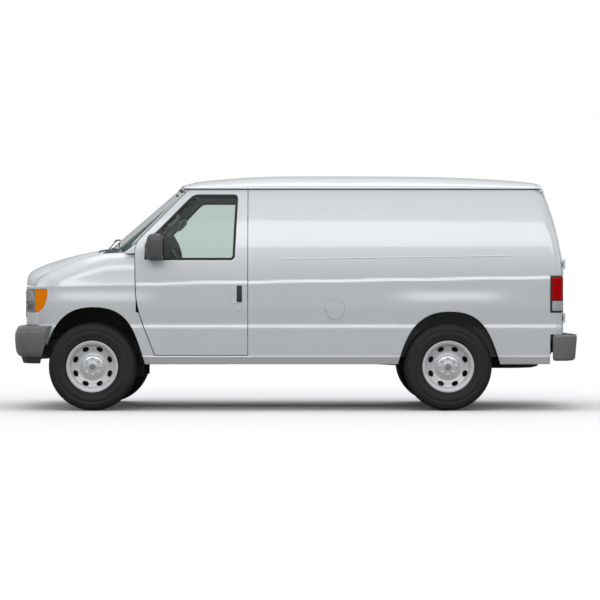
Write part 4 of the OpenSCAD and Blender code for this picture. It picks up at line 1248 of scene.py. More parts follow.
        opening = rect(-V.grille_half, 850, V.grille_half, 1100, 30)
        lamp = [(V.grille_half + 20, V.lamp_low), (V.half, V.lamp_low), (V.half, 1111),
            (V.grille_half + 20, 1111)]
        other = [(-y, z) for y, z in lamp]
        bm = carve(wrap(grid_slab(90, 30), wall(0.86, 24, 778, V.crease_front - 6, 0)),
            *(prism(o, V.nose - 500, V.nose + 60, "X") for o in (opening, lamp, other)))
        piece("nose_panel_skin", soften(bm, 3), PAINT, replaces=("nose_panel",))
        surround = carve(wrap(grid_slab(60, 10), wall(0.6, 46, 840, 1110, 5)),
            prism(grown(opening, -22), *CUT_NOSE, "X"), within=prism(grown(opening, -1), *CUT_NOSE, "X"))
        bars = [carve(wrap(grid_slab(60, 2), wall(0.6, 30, z - 5, z + 5, 0)),
            within=prism(grown(opening, -8), *CUT_NOSE, "X")) for z in range(884, 1080, 24)]
        posts = [block((V.nose - 60, y - 7, 860), (V.outline_x(y) - 12, y + 7, 1090), 2)
            for y in (-322, -161, 0, 161, 322)]
        piece("grille_frame", soften(surround, 3), MIRROR, replaces=("grille",))
        piece("grille_bars", joined(*bars, *posts), TRIM)
        for left in (True, False):
            side, flip = ("left", lambda b: b) if left else ("right", flipped)
            for name, finish, lo, hi, out in (("head_lamp", CLEAR, V.grille_half + 24, 820, 2),
                    ("corner_lamp", AMBER, 826, V.half, 2)):
                def lens(u: float, v: float, d: float, lo: float = lo, hi: float = hi,
                        out: float = out) -> Vector:
                    """A place on a front lens."""
                    y = mix(lo, min(hi, V.outline_y(V.nose - 285)), u)
                    x = V.outline_x(y) - 6 + out
                    return Vector((x - 12 * d, y - 6 + out - 10 * d * smooth((y - 700) / 200),
                        mix(V.lamp_low + 2, 1109, v)))
                glass = carve(wrap(grid_slab(50, 16), lens),
                    within=prism(grown(V.front_lamp(), -1), 0, 1100))
                piece(f"{side}_{name}_lens", flip(soften(glass, 2.5)), finish,
                    replaces=("front_lamps",) if left and name == "head_lamp" else ())
            bowl = lathe([(0, 0), (30, 4), (58, 22), (78, 52), (82, 60)], (0, 0, 0), 48)
            rotate(bowl, math.radians(-90), "Z")
            bmesh.ops.scale(bowl, verts=bowl.verts, vec=(1, 1.35, 1.05))
            bmesh.ops.translate(bowl, verts=bowl.verts, vec=(V.nose * MM - 0.125, 0.665, 1.003))
            piece(f"{side}_head_lamp_bowl", flip(bowl), REFLECTOR)
            back = wrap(grid_slab(30, 4), lambda u, v, d: Vector((
                V.outline_x(mix(524, 930, u)) - 70 - 6 * d, mix(524, 930, u) - 22,
                mix(V.lamp_low, 1111, v))))
            piece(f"{side}_lamp_housing", flip(back), REFLECTOR)

        def cowl(u: float, v: float, d: float) -> Vector:
            """A place on the cowl."""
            s = mix(-1, 1, u)
            y = s * V.hood_share * V.plan_half(V.hood_rear)
            x = V.hood_edge(y) - V.gap
            front = Vector((x, y, V.top_z(x, y) - 4))
            back = V.screen(s * 1.01, 0) - Vector((4, 0, 6))
            return front.lerp(back, v) + Vector((0, 0, 16 * math.sin(v * math.pi) ** 0.7 - 22 * d))

        piece("cowl_skin", soften(wrap(grid_slab(70, 10), cowl), 2), TRIM,
            replaces=("cowl_panel",))

    def build_screen(self) -> None:
        """The windshield, its seal and the pillars."""
        def pane(u: float, v: float, d: float) -> Vector:
            """A place on the windshield."""
            return V.screen(mix(-1, 1, u), v) + Vector((-3.2, 0, -3.8)) * d

        piece("windshield_pane", wrap(grid_slab(48, 20), pane), SCREEN,
            replaces=("windshield",))
        for name, s0, s1, t0, t1 in (("left", 0.982, 1.008, 0, 1), ("right", -0.982, -1.008, 0, 1),
                ("top", -1, 1, 0.972, 1.004), ("foot", -1, 1, -0.01, 0.02)):
            def seal(u: float, v: float, d: float, s0: float = s0, s1: float = s1, t0: float = t0,
                    t1: float = t1) -> Vector:
                """A place on one edge of the windshield seal."""
                return V.screen(mix(s0, s1, u), mix(t0, t1, v)) + Vector((2.2, 0, 2.6)) * (1 - 3 * d)
            wide = name in ("top", "foot")
            piece(f"windshield_seal_{name}", soften(wrap(grid_slab(48 if wide else 2, 2 if wide else 30),
                seal), 1), RUBBER)

        def pillar(u: float, v: float, d: float) -> Vector:
            """A place on the left windshield pillar."""
            t = mix(-0.1, 1, v)
            x = mix(V.pillar_foot[0], V.pillar_head[0], t) + 6
            z = mix(V.pillar_foot[1], V.pillar_head[1], t) + 6
            edge = Vector((x, V.side_y(x, z), z))
            near = V.screen(1.005, clamp(t)) + (Vector((6, 0, -40)) * min(1.0, max(0.0, -t * 10)))
            mid = near.lerp(edge, 0.5) + Vector((8, 18, 12))
            p = near * (1 - u) ** 2 + mid * 2 * u * (1 - u) + edge * u * u
            return p - Vector((8, 26, 14)) * d

        border = 0.78
        glazed = wrap(grid_slab(12, 40), lambda u, v, d: pillar(border * u, v, d))
        bm = soften(carve(wrap(grid_slab(6, 40), lambda u, v, d: pillar(mix(border, 1, u), v, d)
            + Vector((1.5, 1.5, 1.5))), prism(grown(V.door(), V.gap - 1), 600, 1100)), 1)
        piece("left_screen_border", glazed.copy(), SCREEN_BORDER)
        piece("right_screen_border", flipped(glazed), SCREEN_BORDER)
        foot = carve(self.side_sheet(1430, 1560, 1420, 1545, 18, 10, 10, 8),
            prism(grown(V.door(), V.gap + 1), *CUT_SKIN),
            within=prism([(1556, 1436), (1556, 1446), (1470, 1510), (1430, 1530), (1430, 1436)], *CUT_SKIN))
        bm = joined(bm, foot)
        other = flipped(bm)
        piece("left_pillar", bm, PAINT, replaces=("windshield_pillars",))
        piece("right_pillar", other, PAINT)

        def brow(u: float, v: float, d: float) -> Vector:
            """A place on the header above the windshield."""
            s = mix(-1, 1, u)
            a = V.screen(s, 1.002)
            x = V.front_axle - 772
            y = s * V.roof_half(x)
            b = Vector((x - 62 * s * s * smooth(x / 900), y, V.roof_z(x, y)))
            b = Vector((b.x, a.y + (b.y - a.y) * v, max(b.z, a.z - 6)))
            return a.lerp(b, v) - Vector((4, 0, 20)) * d

        piece("windshield_header", soften(wrap(grid_slab(60, 4), brow), 1.5), PAINT)

    def build_rear(self) -> None:
        """The rear doors, their glass, handle and lamps."""
        top, low = V.rail - 40, V.floor_top + 10

        def leaf(t: float, depth: float, inset: float) -> Grid:
            """A slab that follows the left rear door.

            Args:
                t: the thickness.
                depth: how far it is sunk.
                inset: how far in its edges are.

            Returns:
                Its grid function.
            """
            def at(u: float, v: float, d: float) -> Vector:
                """A place on the surface."""
                z = mix(low, top, v)
                y = mix(V.gap / 2 + inset, V.rear_edge(z) - inset, u)
                press = (8 * smooth((V.crease_rear - 40 - z) / 20) * smooth((z - 790) / 20)
                    * smooth((y - 80) / 20) * smooth((V.rear_edge(z) - 70 - y) / 20))
                return Vector((V.rear_x(y, z) + depth + press * (1 - d) + d * t, y, z))
            return at

        hole = rounded([(95, V.belt + 20), (V.rear_edge(V.belt) - 75, V.belt + 20),
            (V.rear_edge(top) - 60, top - 90), (95, top - 90)], 70)
        for left, side in ((True, "left"), (False, "right")):
            flip = (lambda b: b) if left else flipped
            body = f"back_door_{side}"
            bm = carve(wrap(grid_slab(60, 110), leaf(55, 0, 0)), prism(hole, *CUT_BACK, "X"))
            piece(f"rear_door_{side}_shell", flip(soften(bm, 3)), PAINT, body,
                replaces=(f"rear_door_{side}",))
            pane = carve(wrap(grid_slab(30, 50), leaf(5, 12, 10)),
                within=prism(grown(hole, -5), *CUT_BACK, "X"))
            piece(f"rear_pane_{side}", flip(pane), GLASS, body, replaces=(f"rear_glass_{side}",))
            seal = carve(wrap(grid_slab(40, 60), leaf(18, -1, 4)), prism(grown(hole, -18), *CUT_BACK, "X"),
                within=prism(grown(hole, 1), *CUT_BACK, "X"))
            piece(f"rear_seal_{side}", flip(soften(seal, 2)), RUBBER, body)
            bits = []
            for z in self.rear_zs:
                y = V.rear_edge(z)
                bits += [rod((V.tail - 16, 900, z - 30), (V.tail - 16, 900, z + 30), 10),
                    block((V.tail - 21, y - 52, z - 27), (V.tail - 11, 900, z + 27), 4)]
            piece(f"rear_hinges_{side}", flip(joined(*bits)), PAINT, body)
            lamp = carve(self.side_sheet(V.tail + V.corner - V.corner * math.pi / 2 - 10, V.tail + 130,
                V.lamp_low + 1, V.lamp_low + 334, 30, 40, 30, -7),
                within=block((V.tail - 100, V.half - 77, V.lamp_low + 1),
                (V.tail + 116, V.half + 60, V.lamp_low + 334), 10))
            piece(f"tail_lamp_{side}_case", flip(soften(lamp, 3)), TRIM,
                replaces=("tail_lamps",) if left else ())
            for name, finish, z0, z1 in (("red", RED, 1008, V.lamp_low + 320),
                    ("clear", WHITE_LENS, V.lamp_low + 16, 1000)):
                lens = carve(self.side_sheet(V.tail + V.corner - V.corner * math.pi / 2 - 6, V.tail + 112,
                    z0, z1, 10, 40, 12, -10), within=block((V.tail - 100, V.half - 66, z0),
                    (V.tail + 102, V.half + 60, z1), 8))
                piece(f"tail_lamp_{side}_{name}", flip(soften(lens, 2)), finish)
        x = V.rear_x(60, 1060)
        grip = carve(block((x - 3, 25, 1010), (x + 12, 135, 1120), 6, 4),
            block((x - 30, 36, 1022), (x + 4, 124, 1108), 8))
        piece("rear_door_handle", joined(soften(grip, 1.5),
            block((x - 4, 44, 1060), (x + 4, 116, 1096), 5)), TRIM, "back_door_left")
        plate = V.rear_x(-300, 850)
        piece("rear_plate_blank", block((plate - 4, -470, 770), (plate + 2, -165, 925), 4), WHITE_PLATE,
            "back_door_right")

    def build(self) -> None:
        """All the panels."""
        for step in (self.build_side, self.build_doors, self.build_roof, self.build_nose, self.build_screen,
                self.build_rear):
            step()


# ---- wheels ----
@dataclass
class Wheels:
    """Tyres with tread blocks, pressed wheels with hand holes, hub caps and brakes."""

    hub_y: float = 865
    width: float = 240
    bead: float = 222
    hand_holes: int = 8
    lugs: int = 8
    tread_blocks: int = 62
    tread_depth: float = 8

    def tyre(self, x: float, side: int) -> Mesh:
        """One tyre.

        Args:
            x: the axle's place.
            side: 1 for the left wheel, -1 for the right.

        Returns:
            The tyre with its tread blocks and ribs.
        """
        w, r, b = self.width / 2, V.tyre_r - self.tread_depth, self.bead
        half = [(b, w - 24), (b + 6, w - 21), (b + 18, w - 14.5), (b + 30, w - 9), (b + 33, w - 5.5),
            (b + 38, w - 5), (b + 41, w - 6.5), (b + 58, w - 2), (b + 75, w), (b + 98, w),
            (b + 101, w - 2.5), (b + 104, w - 2.5), (b + 107, w - 0.5), (b + 122, w - 2), (r - 32, w - 6),
            (r - 14, w - 15), (r - 6, w - 22), (r - 1, w - 32)]
        grooves = []
        for g in (54, 22):
            grooves += [(r, g + 7), (r - 6, g + 5), (r - 6, g - 5), (r, g - 7)]
        ring = half + grooves
        outline = ring + [(a, -d) for a, d in reversed(ring)]
        outline.append(outline[0])
        bm = lathe(outline, (x, side * self.hub_y, V.tyre_r), 120, side)
        blocks = []
        for k, (y0, y1) in enumerate(((-93, -62), (-46, -30), (-14, 14), (30, 46), (62, 93))):
            shoulder = abs(y0 + y1) > 140
            for i in range(self.tread_blocks):
                a = (i + (k % 2) * 0.5) * math.tau / self.tread_blocks
                lug = block((-13.5, y0, r - 4), (13.5, y1, V.tyre_r - 0.3), 0)
                for v in lug.verts:
                    co = v.co / MM
                    if co.z > V.tyre_r - 2:
                        co.x *= 0.9
                        if shoulder and abs(co.y) > 80:
                            co.z -= 10
                        co.z -= 0.06 * (abs(co.y) / 10) ** 2
                    elif shoulder and abs(co.y) > 80:
                        co.z -= 18
                    co.x += (co.y - (y0 + y1) / 2) * 0.2 * (1 if k % 2 else -1)
                    length = math.hypot(co.x, co.z)
                    co.x, co.z = co.x * min(1, V.tyre_r / length), co.z * min(1, V.tyre_r / length)
                    v.co = co * MM
                rotate(lug, a, "Y")
                shift(lug, (x, side * self.hub_y, V.tyre_r))
                blocks.append(lug)
        for i in range(90):
            a = i * math.tau / 90
            rib = block((-1.2, w - 12, r - 34), (1.2, w - 4.6, r - 14), 0)
            rotate(rib, a, "Y")
            bmesh.ops.scale(rib, verts=rib.verts, vec=(1, side, 1))
            shift(rib, (x, side * self.hub_y, V.tyre_r))
            bmesh.ops.recalc_face_normals(rib, faces=rib.faces)
            blocks.append(rib)
        return joined(bm, *blocks)

    def rim(self, x: float, side: int) -> Mesh:
        """One pressed wheel.

        Args:
            x: the axle's place.
            side: 1 for the left wheel, -1 for the right.

        Returns:
            The rim barrel, the holed disc and the valve stem.
        """
        w, r = self.width / 2, self.bead - 0.3
        centre = (x, side * self.hub_y, V.tyre_r)
        barrel = [(r, -w + 24), (r + 5, -w + 17), (r + 12, -w + 14), (r + 14, -w + 11), (r + 13, -w + 8),
            (r + 8, -w + 7.5), (r + 1, -w + 8), (r - 9, -w + 10), (r - 19, -w + 24), (r - 24, -w + 42),
            (r - 25, 0), (r - 24, w - 38), (r - 20, w - 24), (r - 12, w - 12), (r - 6, w - 9),
            (r + 6, w - 7.5), (r + 13, w - 8), (r + 14.5, w - 11), (r + 12, w - 14), (r + 5, w - 17),
            (r, w - 24), (r - 8, w - 36), (r - 12, w - 46), (r - 12, -w + 46), (r - 8, -w + 36)]
        bm = lathe(barrel + [barrel[0]], centre, 112, side)
        disc = [(0, 40), (98, 40), (112, 36), (126, 32), (136, 33), (152, 40), (168, 50), (180, 56.5),
            (190, 58), (198, 56), (202, 52), (202, 44), (196, 45), (184, 45), (164, 36), (150, 26),
            (134, 20), (112, 18), (84, 10), (80, -61), (0, -61)]
        plate = lathe(disc, centre, 112, side)
        cuts = []
        for i in range(self.hand_holes):
            a = (i + 0.5) * math.tau / self.hand_holes
            pts = []
            for k in range(24):
                t = k * math.tau / 24
                u, v = 22 * math.cos(t), 31 * math.sin(t)
                pts.append((x + (168 + u) * math.cos(a) - v * math.sin(a),
                    V.tyre_r + (168 + u) * math.sin(a) + v * math.cos(a)))
            cuts.append(prism(pts, side * self.hub_y - 90, side * self.hub_y + 90))
        cuts.append(rod((x, side * (self.hub_y - 70), V.tyre_r), (x, side * (self.hub_y + 31), V.tyre_r),
            32.5, 48))
        plate = soften(carve(plate, *cuts), 3, 50, 3)
        stem = joined(rod((x + 128, side * (self.hub_y + 34), V.tyre_r + 152),
            (x + 134, side * (self.hub_y + 76), V.tyre_r + 160), 4, 12),
            rod((x + 134, side * (self.hub_y + 74), V.tyre_r + 160),
            (x + 136, side * (self.hub_y + 86), V.tyre_r + 163), 5.2, 12))
        return joined(bm, plate, stem)

    def cap(self, x: float, side: int) -> Mesh:
        """One hub cap.

        Args:
            x: the axle's place.
            side: 1 for the left wheel, -1 for the right.

        Returns:
            The cap with its ring of lug covers.
        """
        centre = (x, side * self.hub_y, V.tyre_r)
        dome = lathe([(0, 73), (33, 73), (36, 71.5), (38, 67), (41, 64), (48, 62.5), (60, 61.5), (78, 59.5),
            (92, 56.5), (101, 52), (106, 46.5), (108, 41), (108, 38), (104, 36.5), (0, 36.5)], centre, 96,
            side)
        parts = [dome]
        for i in range(self.lugs):
            a = i * math.tau / self.lugs
            at = (x + 74 * math.cos(a), centre[1], V.tyre_r + 74 * math.sin(a))
            parts.append(lathe([(0, 74), (6, 73.5), (10, 71.5), (12, 68), (13, 60), (13.2, 54), (0, 54)],
                at, 28, side))
        return joined(*parts)

    def brake(self, x: float, side: int) -> Mesh:
        """One brake disc, behind the wheel.

        Args:
            x: the axle's place.
            side: 1 for the left wheel, -1 for the right.

        Returns:
            The disc.
        """
        centre = (x, side * self.hub_y, V.tyre_r)
        return lathe([(60, -69), (168, -69), (170, -72), (170, -90), (168, -93), (60, -93), (60, -69)],
            centre, 72, side)

    def build(self) -> None:
        """All four wheels."""
        for at, x in (("front", V.front_axle), ("rear", V.rear_axle)):
            for name, side in (("left", 1), ("right", -1)):
                body = f"wheel_{at}_{name}"
                tag = f"{at}_{name}"
                piece(f"tyre_{tag}_tread", self.tyre(x, side), TYRE, body,
                    replaces=(f"tyre_{tag}",), angle=40)
                piece(f"wheel_{tag}_disc", self.rim(x, side), WHEEL, body,
                    replaces=(f"wheel_{tag}",), angle=40)
                piece(f"wheel_{tag}_cap", self.cap(x, side), CAP, body, angle=40)
                badge = lathe([(0, 74.6), (27, 74.6), (29.5, 73.6), (30, 72), (0, 72)],
                    (x, side * self.hub_y, V.tyre_r), 48, side)
                piece(f"wheel_{tag}_cap_centre", badge, CAP_CENTRE, body)
                piece(f"wheel_{tag}_brake", self.brake(x, side), IRON, body)


# ---- what is fitted to the body ----
@dataclass
class Fittings:
    """Bumpers, mirrors, wipers and the fuel flap."""

    mirror_at: tuple[float, float, float] = (1271, 150, 1488)
    wiper_ys: tuple[float, float] = (-520, 250)

    def build_front_bumper(self) -> None:
        """The front bumper, its top step and its valance."""
        half = V.half - 14
        profile = [(491, 46), (497, 36), (512, 22), (540, 11), (590, 4.5), (640, 1), (690, 1), (716, 5),
            (722, 12), (730, 13), (745, 17), (760, 26), (771, 42), (776, 60)]

        def at(t: float, z: float, deep: float) -> Vector:
            """A place on the surface."""
            s = math.copysign(1 - (1 - abs(t)) ** 4, t)
            return Vector((V.bumper_x(s * half * 0.9999) - deep, s * (half - deep * 0.6), z))

        arch = prism(grown(V.front_arch(), 12), *CUT_SKIN)
        other = flipped(arch)
        n = len(profile) - 1

        def face(u: float, v: float, d: float) -> Vector:
            """A place on the bumper's face."""
            z, deep = profile[round(v * n)]
            return at(mix(-1, 1, u), z, deep + 34 * d)

        bm = carve(wrap(grid_slab(150, n), face), arch, other)
        piece("front_bumper_bar", soften(bm, 2.5, 60), BUMPER,
            replaces=("front_bumper",), angle=28)

        def skirt(u: float, v: float, d: float) -> Vector:
            """A place on the valance."""
            z = mix(430, 520, v)
            return at(mix(-0.86, 0.86, u), z, 74 - (z - 430) / 3 + 26 * d)

        slots = [prism(rect(y - 105, 448, y + 105, 476, 10), V.nose - 500, V.front_x + 50, "X")
            for y in (-250, 0, 250)]
        low = carve(wrap(grid_slab(110, 6), skirt), prism(grown(V.front_arch(), 14), *CUT_SKIN),
            flipped(prism(grown(V.front_arch(), 14), *CUT_SKIN)), *slots)
        piece("front_valance", soften(low, 3), TRIM)
        brackets = [block((V.nose - 120, y - 30, 550), (V.front_x - 40, y + 30, 610), 4)
            for y in (-430, 430)]
        piece("front_bumper_brackets", joined(*brackets), CHASSIS)

    def build_rear_bumper(self) -> None:
        """The rear step bumper with its tread strip and hitch hole."""
        h, f, t = V.half, V.front_x, V.tail
        top = V.floor_top + 3

        def plan(i: float) -> list[Point]:
            """The bumper's plan outline.

            Args:
                i: how far in.

            Returns:
                The outline.
            """
            left = bezier((-f + 60, h - 40 - i), (-f + 30 + i, h - 80 - i), (-f + i, 500), (-f + i, 300),
                14)
            near = [(t + 9, h - 110), (t + 96 + 2 * i, h - 110), (t + 96 + 2 * i, h - 10 - i),
                (-f + 110, h - 12 - i)]
            return near + left + [(x, -y) for x, y in reversed(left)] + [(x, -y) for x, y in reversed(near)]

        shell = soften(prism(plan(0), 455, top, "Z"), 26, 40, 6)
        for v in shell.verts:
            if v.co.x < (t - 40) * MM:
                v.co.x += 0.020 * clamp((0.64 - v.co.z) / 0.18) ** 1.5
        ball = prism(circle(-f + 60, 0, 9.5, 32), top - 60, top + 20, "Z")
        hollow = prism(plan(26), 430, top - 18, "Z")
        tucked = block((t - 40, -h + 40, 430), (t + 110, h - 40, top - 18), 0)
        bm = carve(shell, hollow, tucked, ball)
        piece("rear_bumper_shell", soften(bm, 2, 60, 2), BUMPER,
            replaces=("rear_bumper",))
        strips = [block((x, -h + 150, top - 1), (x + 5, h - 150, top + 2.2), 1, 2)
            for x in range(int(-f + 30), int(t - 6), 13) if abs(x + f - 60) > 16]
        halves = []
        for x in range(int(-f + 30), int(t - 6), 13):
            if abs(x + f - 57) <= 16:
                halves += [block((x, 40, top - 1), (x + 5, h - 150, top + 2.2), 1, 2),
                    block((x, -h + 150, top - 1), (x + 5, -40, top + 2.2), 1, 2)]
        piece("rear_step_tread", joined(*strips, *halves), TRIM)
        blank = block((-f + 0.3, -165, 535), (-f + 8, 165, 585), 3, 2)
        holes = [rod((-f - 20, y, 560), (-f + 40, y, 560), 3.5, 20) for y in (-89, 89)]
        blank = carve(blank, *holes)
        piece("rear_plate_bracket", blank, TRIM)
        posts = [block((-f + 24, y - 30, 520), (t + 60, y + 30, 596), 4) for y in (-430, 430)]
        piece("rear_bumper_brackets", joined(*posts), CHASSIS)

    def build_mirrors(self) -> None:
        """Both door mirrors."""
        x, out, z = self.mirror_at
        y = V.side_y(x, z) + out

        def shell(u: float, v: float, d: float) -> Vector:
            """A place on the mirror head."""
            a, b = u * math.tau, (v - 0.5) * math.pi
            n = 0.56
            cx = math.copysign(abs(math.cos(a)) ** n, math.cos(a)) * abs(math.cos(b)) ** 0.46
            cy = math.copysign(abs(math.sin(a)) ** n, math.sin(a)) * abs(math.cos(b)) ** 0.46
            cz = math.copysign(abs(math.sin(b)) ** n, math.sin(b))
            k = 1 - 0.05 * d
            fore = 0.80 if cx > 0 else 1
            return Vector((x + cx * 87 * k * (1 - 0.10 * abs(cz) * (cx > 0)) * fore + (8 if cx > 0 else 0),
                y + cy * 99.4 * k + 6 * cz, z + cz * 124 * k - 14 * max(0, cx) * max(0, cz)))

        bm = wrap(grid_slab(40, 28), shell)
        bmesh.ops.remove_doubles(bm, verts=bm.verts, dist=2e-5)
        face = block((x - 120, y - 74, z - 90), (x - 66, y + 74, z + 90), 22, 5)
        bm = carve(bm, face)
        head = soften(bm, 2, 55)
        arm = joined(block((x - 26, y - out - 20, z - 60), (x + 42, y - 84, z - 20), 14, 4),
            block((x - 26, y - out - 20, z + 20), (x + 42, y - 84, z + 62), 14, 4))
        f = V.front_axle
        sail = soften(prism([(f - 474, V.belt + 6), (f - 484, 1500), (f - 622, 1660), (f - 640, 1650),
            (f - 690, 1560), (f - 716, 1470), (f - 722, V.belt + 6)], V.side_y(1290, 1500) - 34,
            V.side_y(1290, 1500) + 8), 6, 40, 3)
        for v in sail.verts:
            v.co.y += (V.side_y(v.co.x / MM, v.co.z / MM) - V.side_y(1290, 1500)) * MM
        glass = block((x - 74, y - 72, z - 40), (x - 67, y + 72, z + 88), 2, 2)
        low = block((x - 75, y - 72, z - 88), (x - 67, y + 72, z - 46), 2, 2)
        for left, side in ((True, "left"), (False, "right")):
            body = f"door_{side}"
            flip = (lambda b: b.copy()) if left else flipped
            piece(f"{side}_mirror_housing", joined(flip(head), flip(arm)), MIRROR, body,
                replaces=(f"{side}_mirror",), angle=40)
            piece(f"{side}_mirror_sail", flip(sail), TRIM, body)
            piece(f"{side}_mirror_glass", joined(flip(glass), flip(low)), SILVER, body)

    def build_wipers(self) -> None:
        """The windshield wipers."""
        parts, rubber = [], []
        foot_half = V.half - 128
        for y in self.wiper_ys:
            foot = V.screen((y + 190) / foot_half, -0.03) + Vector((30, 0, -14))
            a, b = V.screen((y - 330) / foot_half, 0.14) + Vector((12, 0,
                14)), V.screen((y - 40) / foot_half, 0.1) + Vector((14, 240, 10))
            grip = a.lerp(b, 0.5) + Vector((4, 0, 10))
            parts += [rod(foot - Vector((0, 0, 20)), foot + Vector((0, 0, 14)), 12, 20),
                rod(foot + Vector((0, 0, 8)), foot.lerp(grip, 0.35) + Vector((3, 0, 8)), 8, 14, 6),
                rod(foot.lerp(grip, 0.35) + Vector((3, 0, 8)), grip, 5, 12, 4),
                rod(a.lerp(b, 0.16) + Vector((2, 0, 5)), grip, 3.5, 10),
                rod(grip, a.lerp(b, 0.84) + Vector((2, 0, 5)), 3.5, 10)]
            prev = a
            for i in range(1, 13):
                here = a.lerp(b, i / 12)
                rubber.append(rod(prev, here, 4.2, 8))
                prev = here
        piece("wiper_arms", joined(*parts), TRIM, replaces=("wipers",))
        piece("wiper_blades", joined(*rubber), RUBBER)

    def build_flap(self) -> None:
        """The fuel flap, flush with the side."""
        ring = circle(*V.flap_at, 89.6, 64)
        sheet = wrap(grid_slab(24, 24), lambda u, v, d: Vector((mix(-460, -264, u),
            V.side_y(mix(-460, -264, u), mix(829, 1025, v)) - 6 * d, mix(829, 1025, v))))
        bm = carve(sheet, within=prism(ring, 800, 1100))
        hinge = [rod((-272, 997.9, 913), (-272, 997.9, 941), 4.5, 16),
            block((-290, V.side_y(-280, 927) - 4, 914), (-272, V.side_y(-280, 927) + 3, 940), 2, 2)]
        piece("fuel_flap_disc", joined(soften(bm, 1, 60), *hinge), PAINT, "fuel_flap",
            replaces=("fuel_flap",))
        y = V.side_y(-362, 927)
        bowl = lathe([(91, -2), (91, -34), (84, -38), (0, -38), (0, -40), (86, -40), (93, -36), (93, -2),
            (91, -2)], (-362, y, 927), 64)
        piece("fuel_pocket", bowl, PAINT)
        neck = lathe([(0, -18), (28, -18), (31, -20), (32, -24), (32, -38), (0, -38)], (-362, y, 927), 40)
        grip = block((-388, y - 20, 922), (-336, y - 10, 932), 3, 3)
        piece("fuel_cap", joined(neck, grip), TRIM)

    def build(self) -> None:
        """Everything that is fitted to the body."""
        for step in (self.build_front_bumper, self.build_rear_bumper, self.build_mirrors, self.build_wipers,
                self.build_flap):
            step()


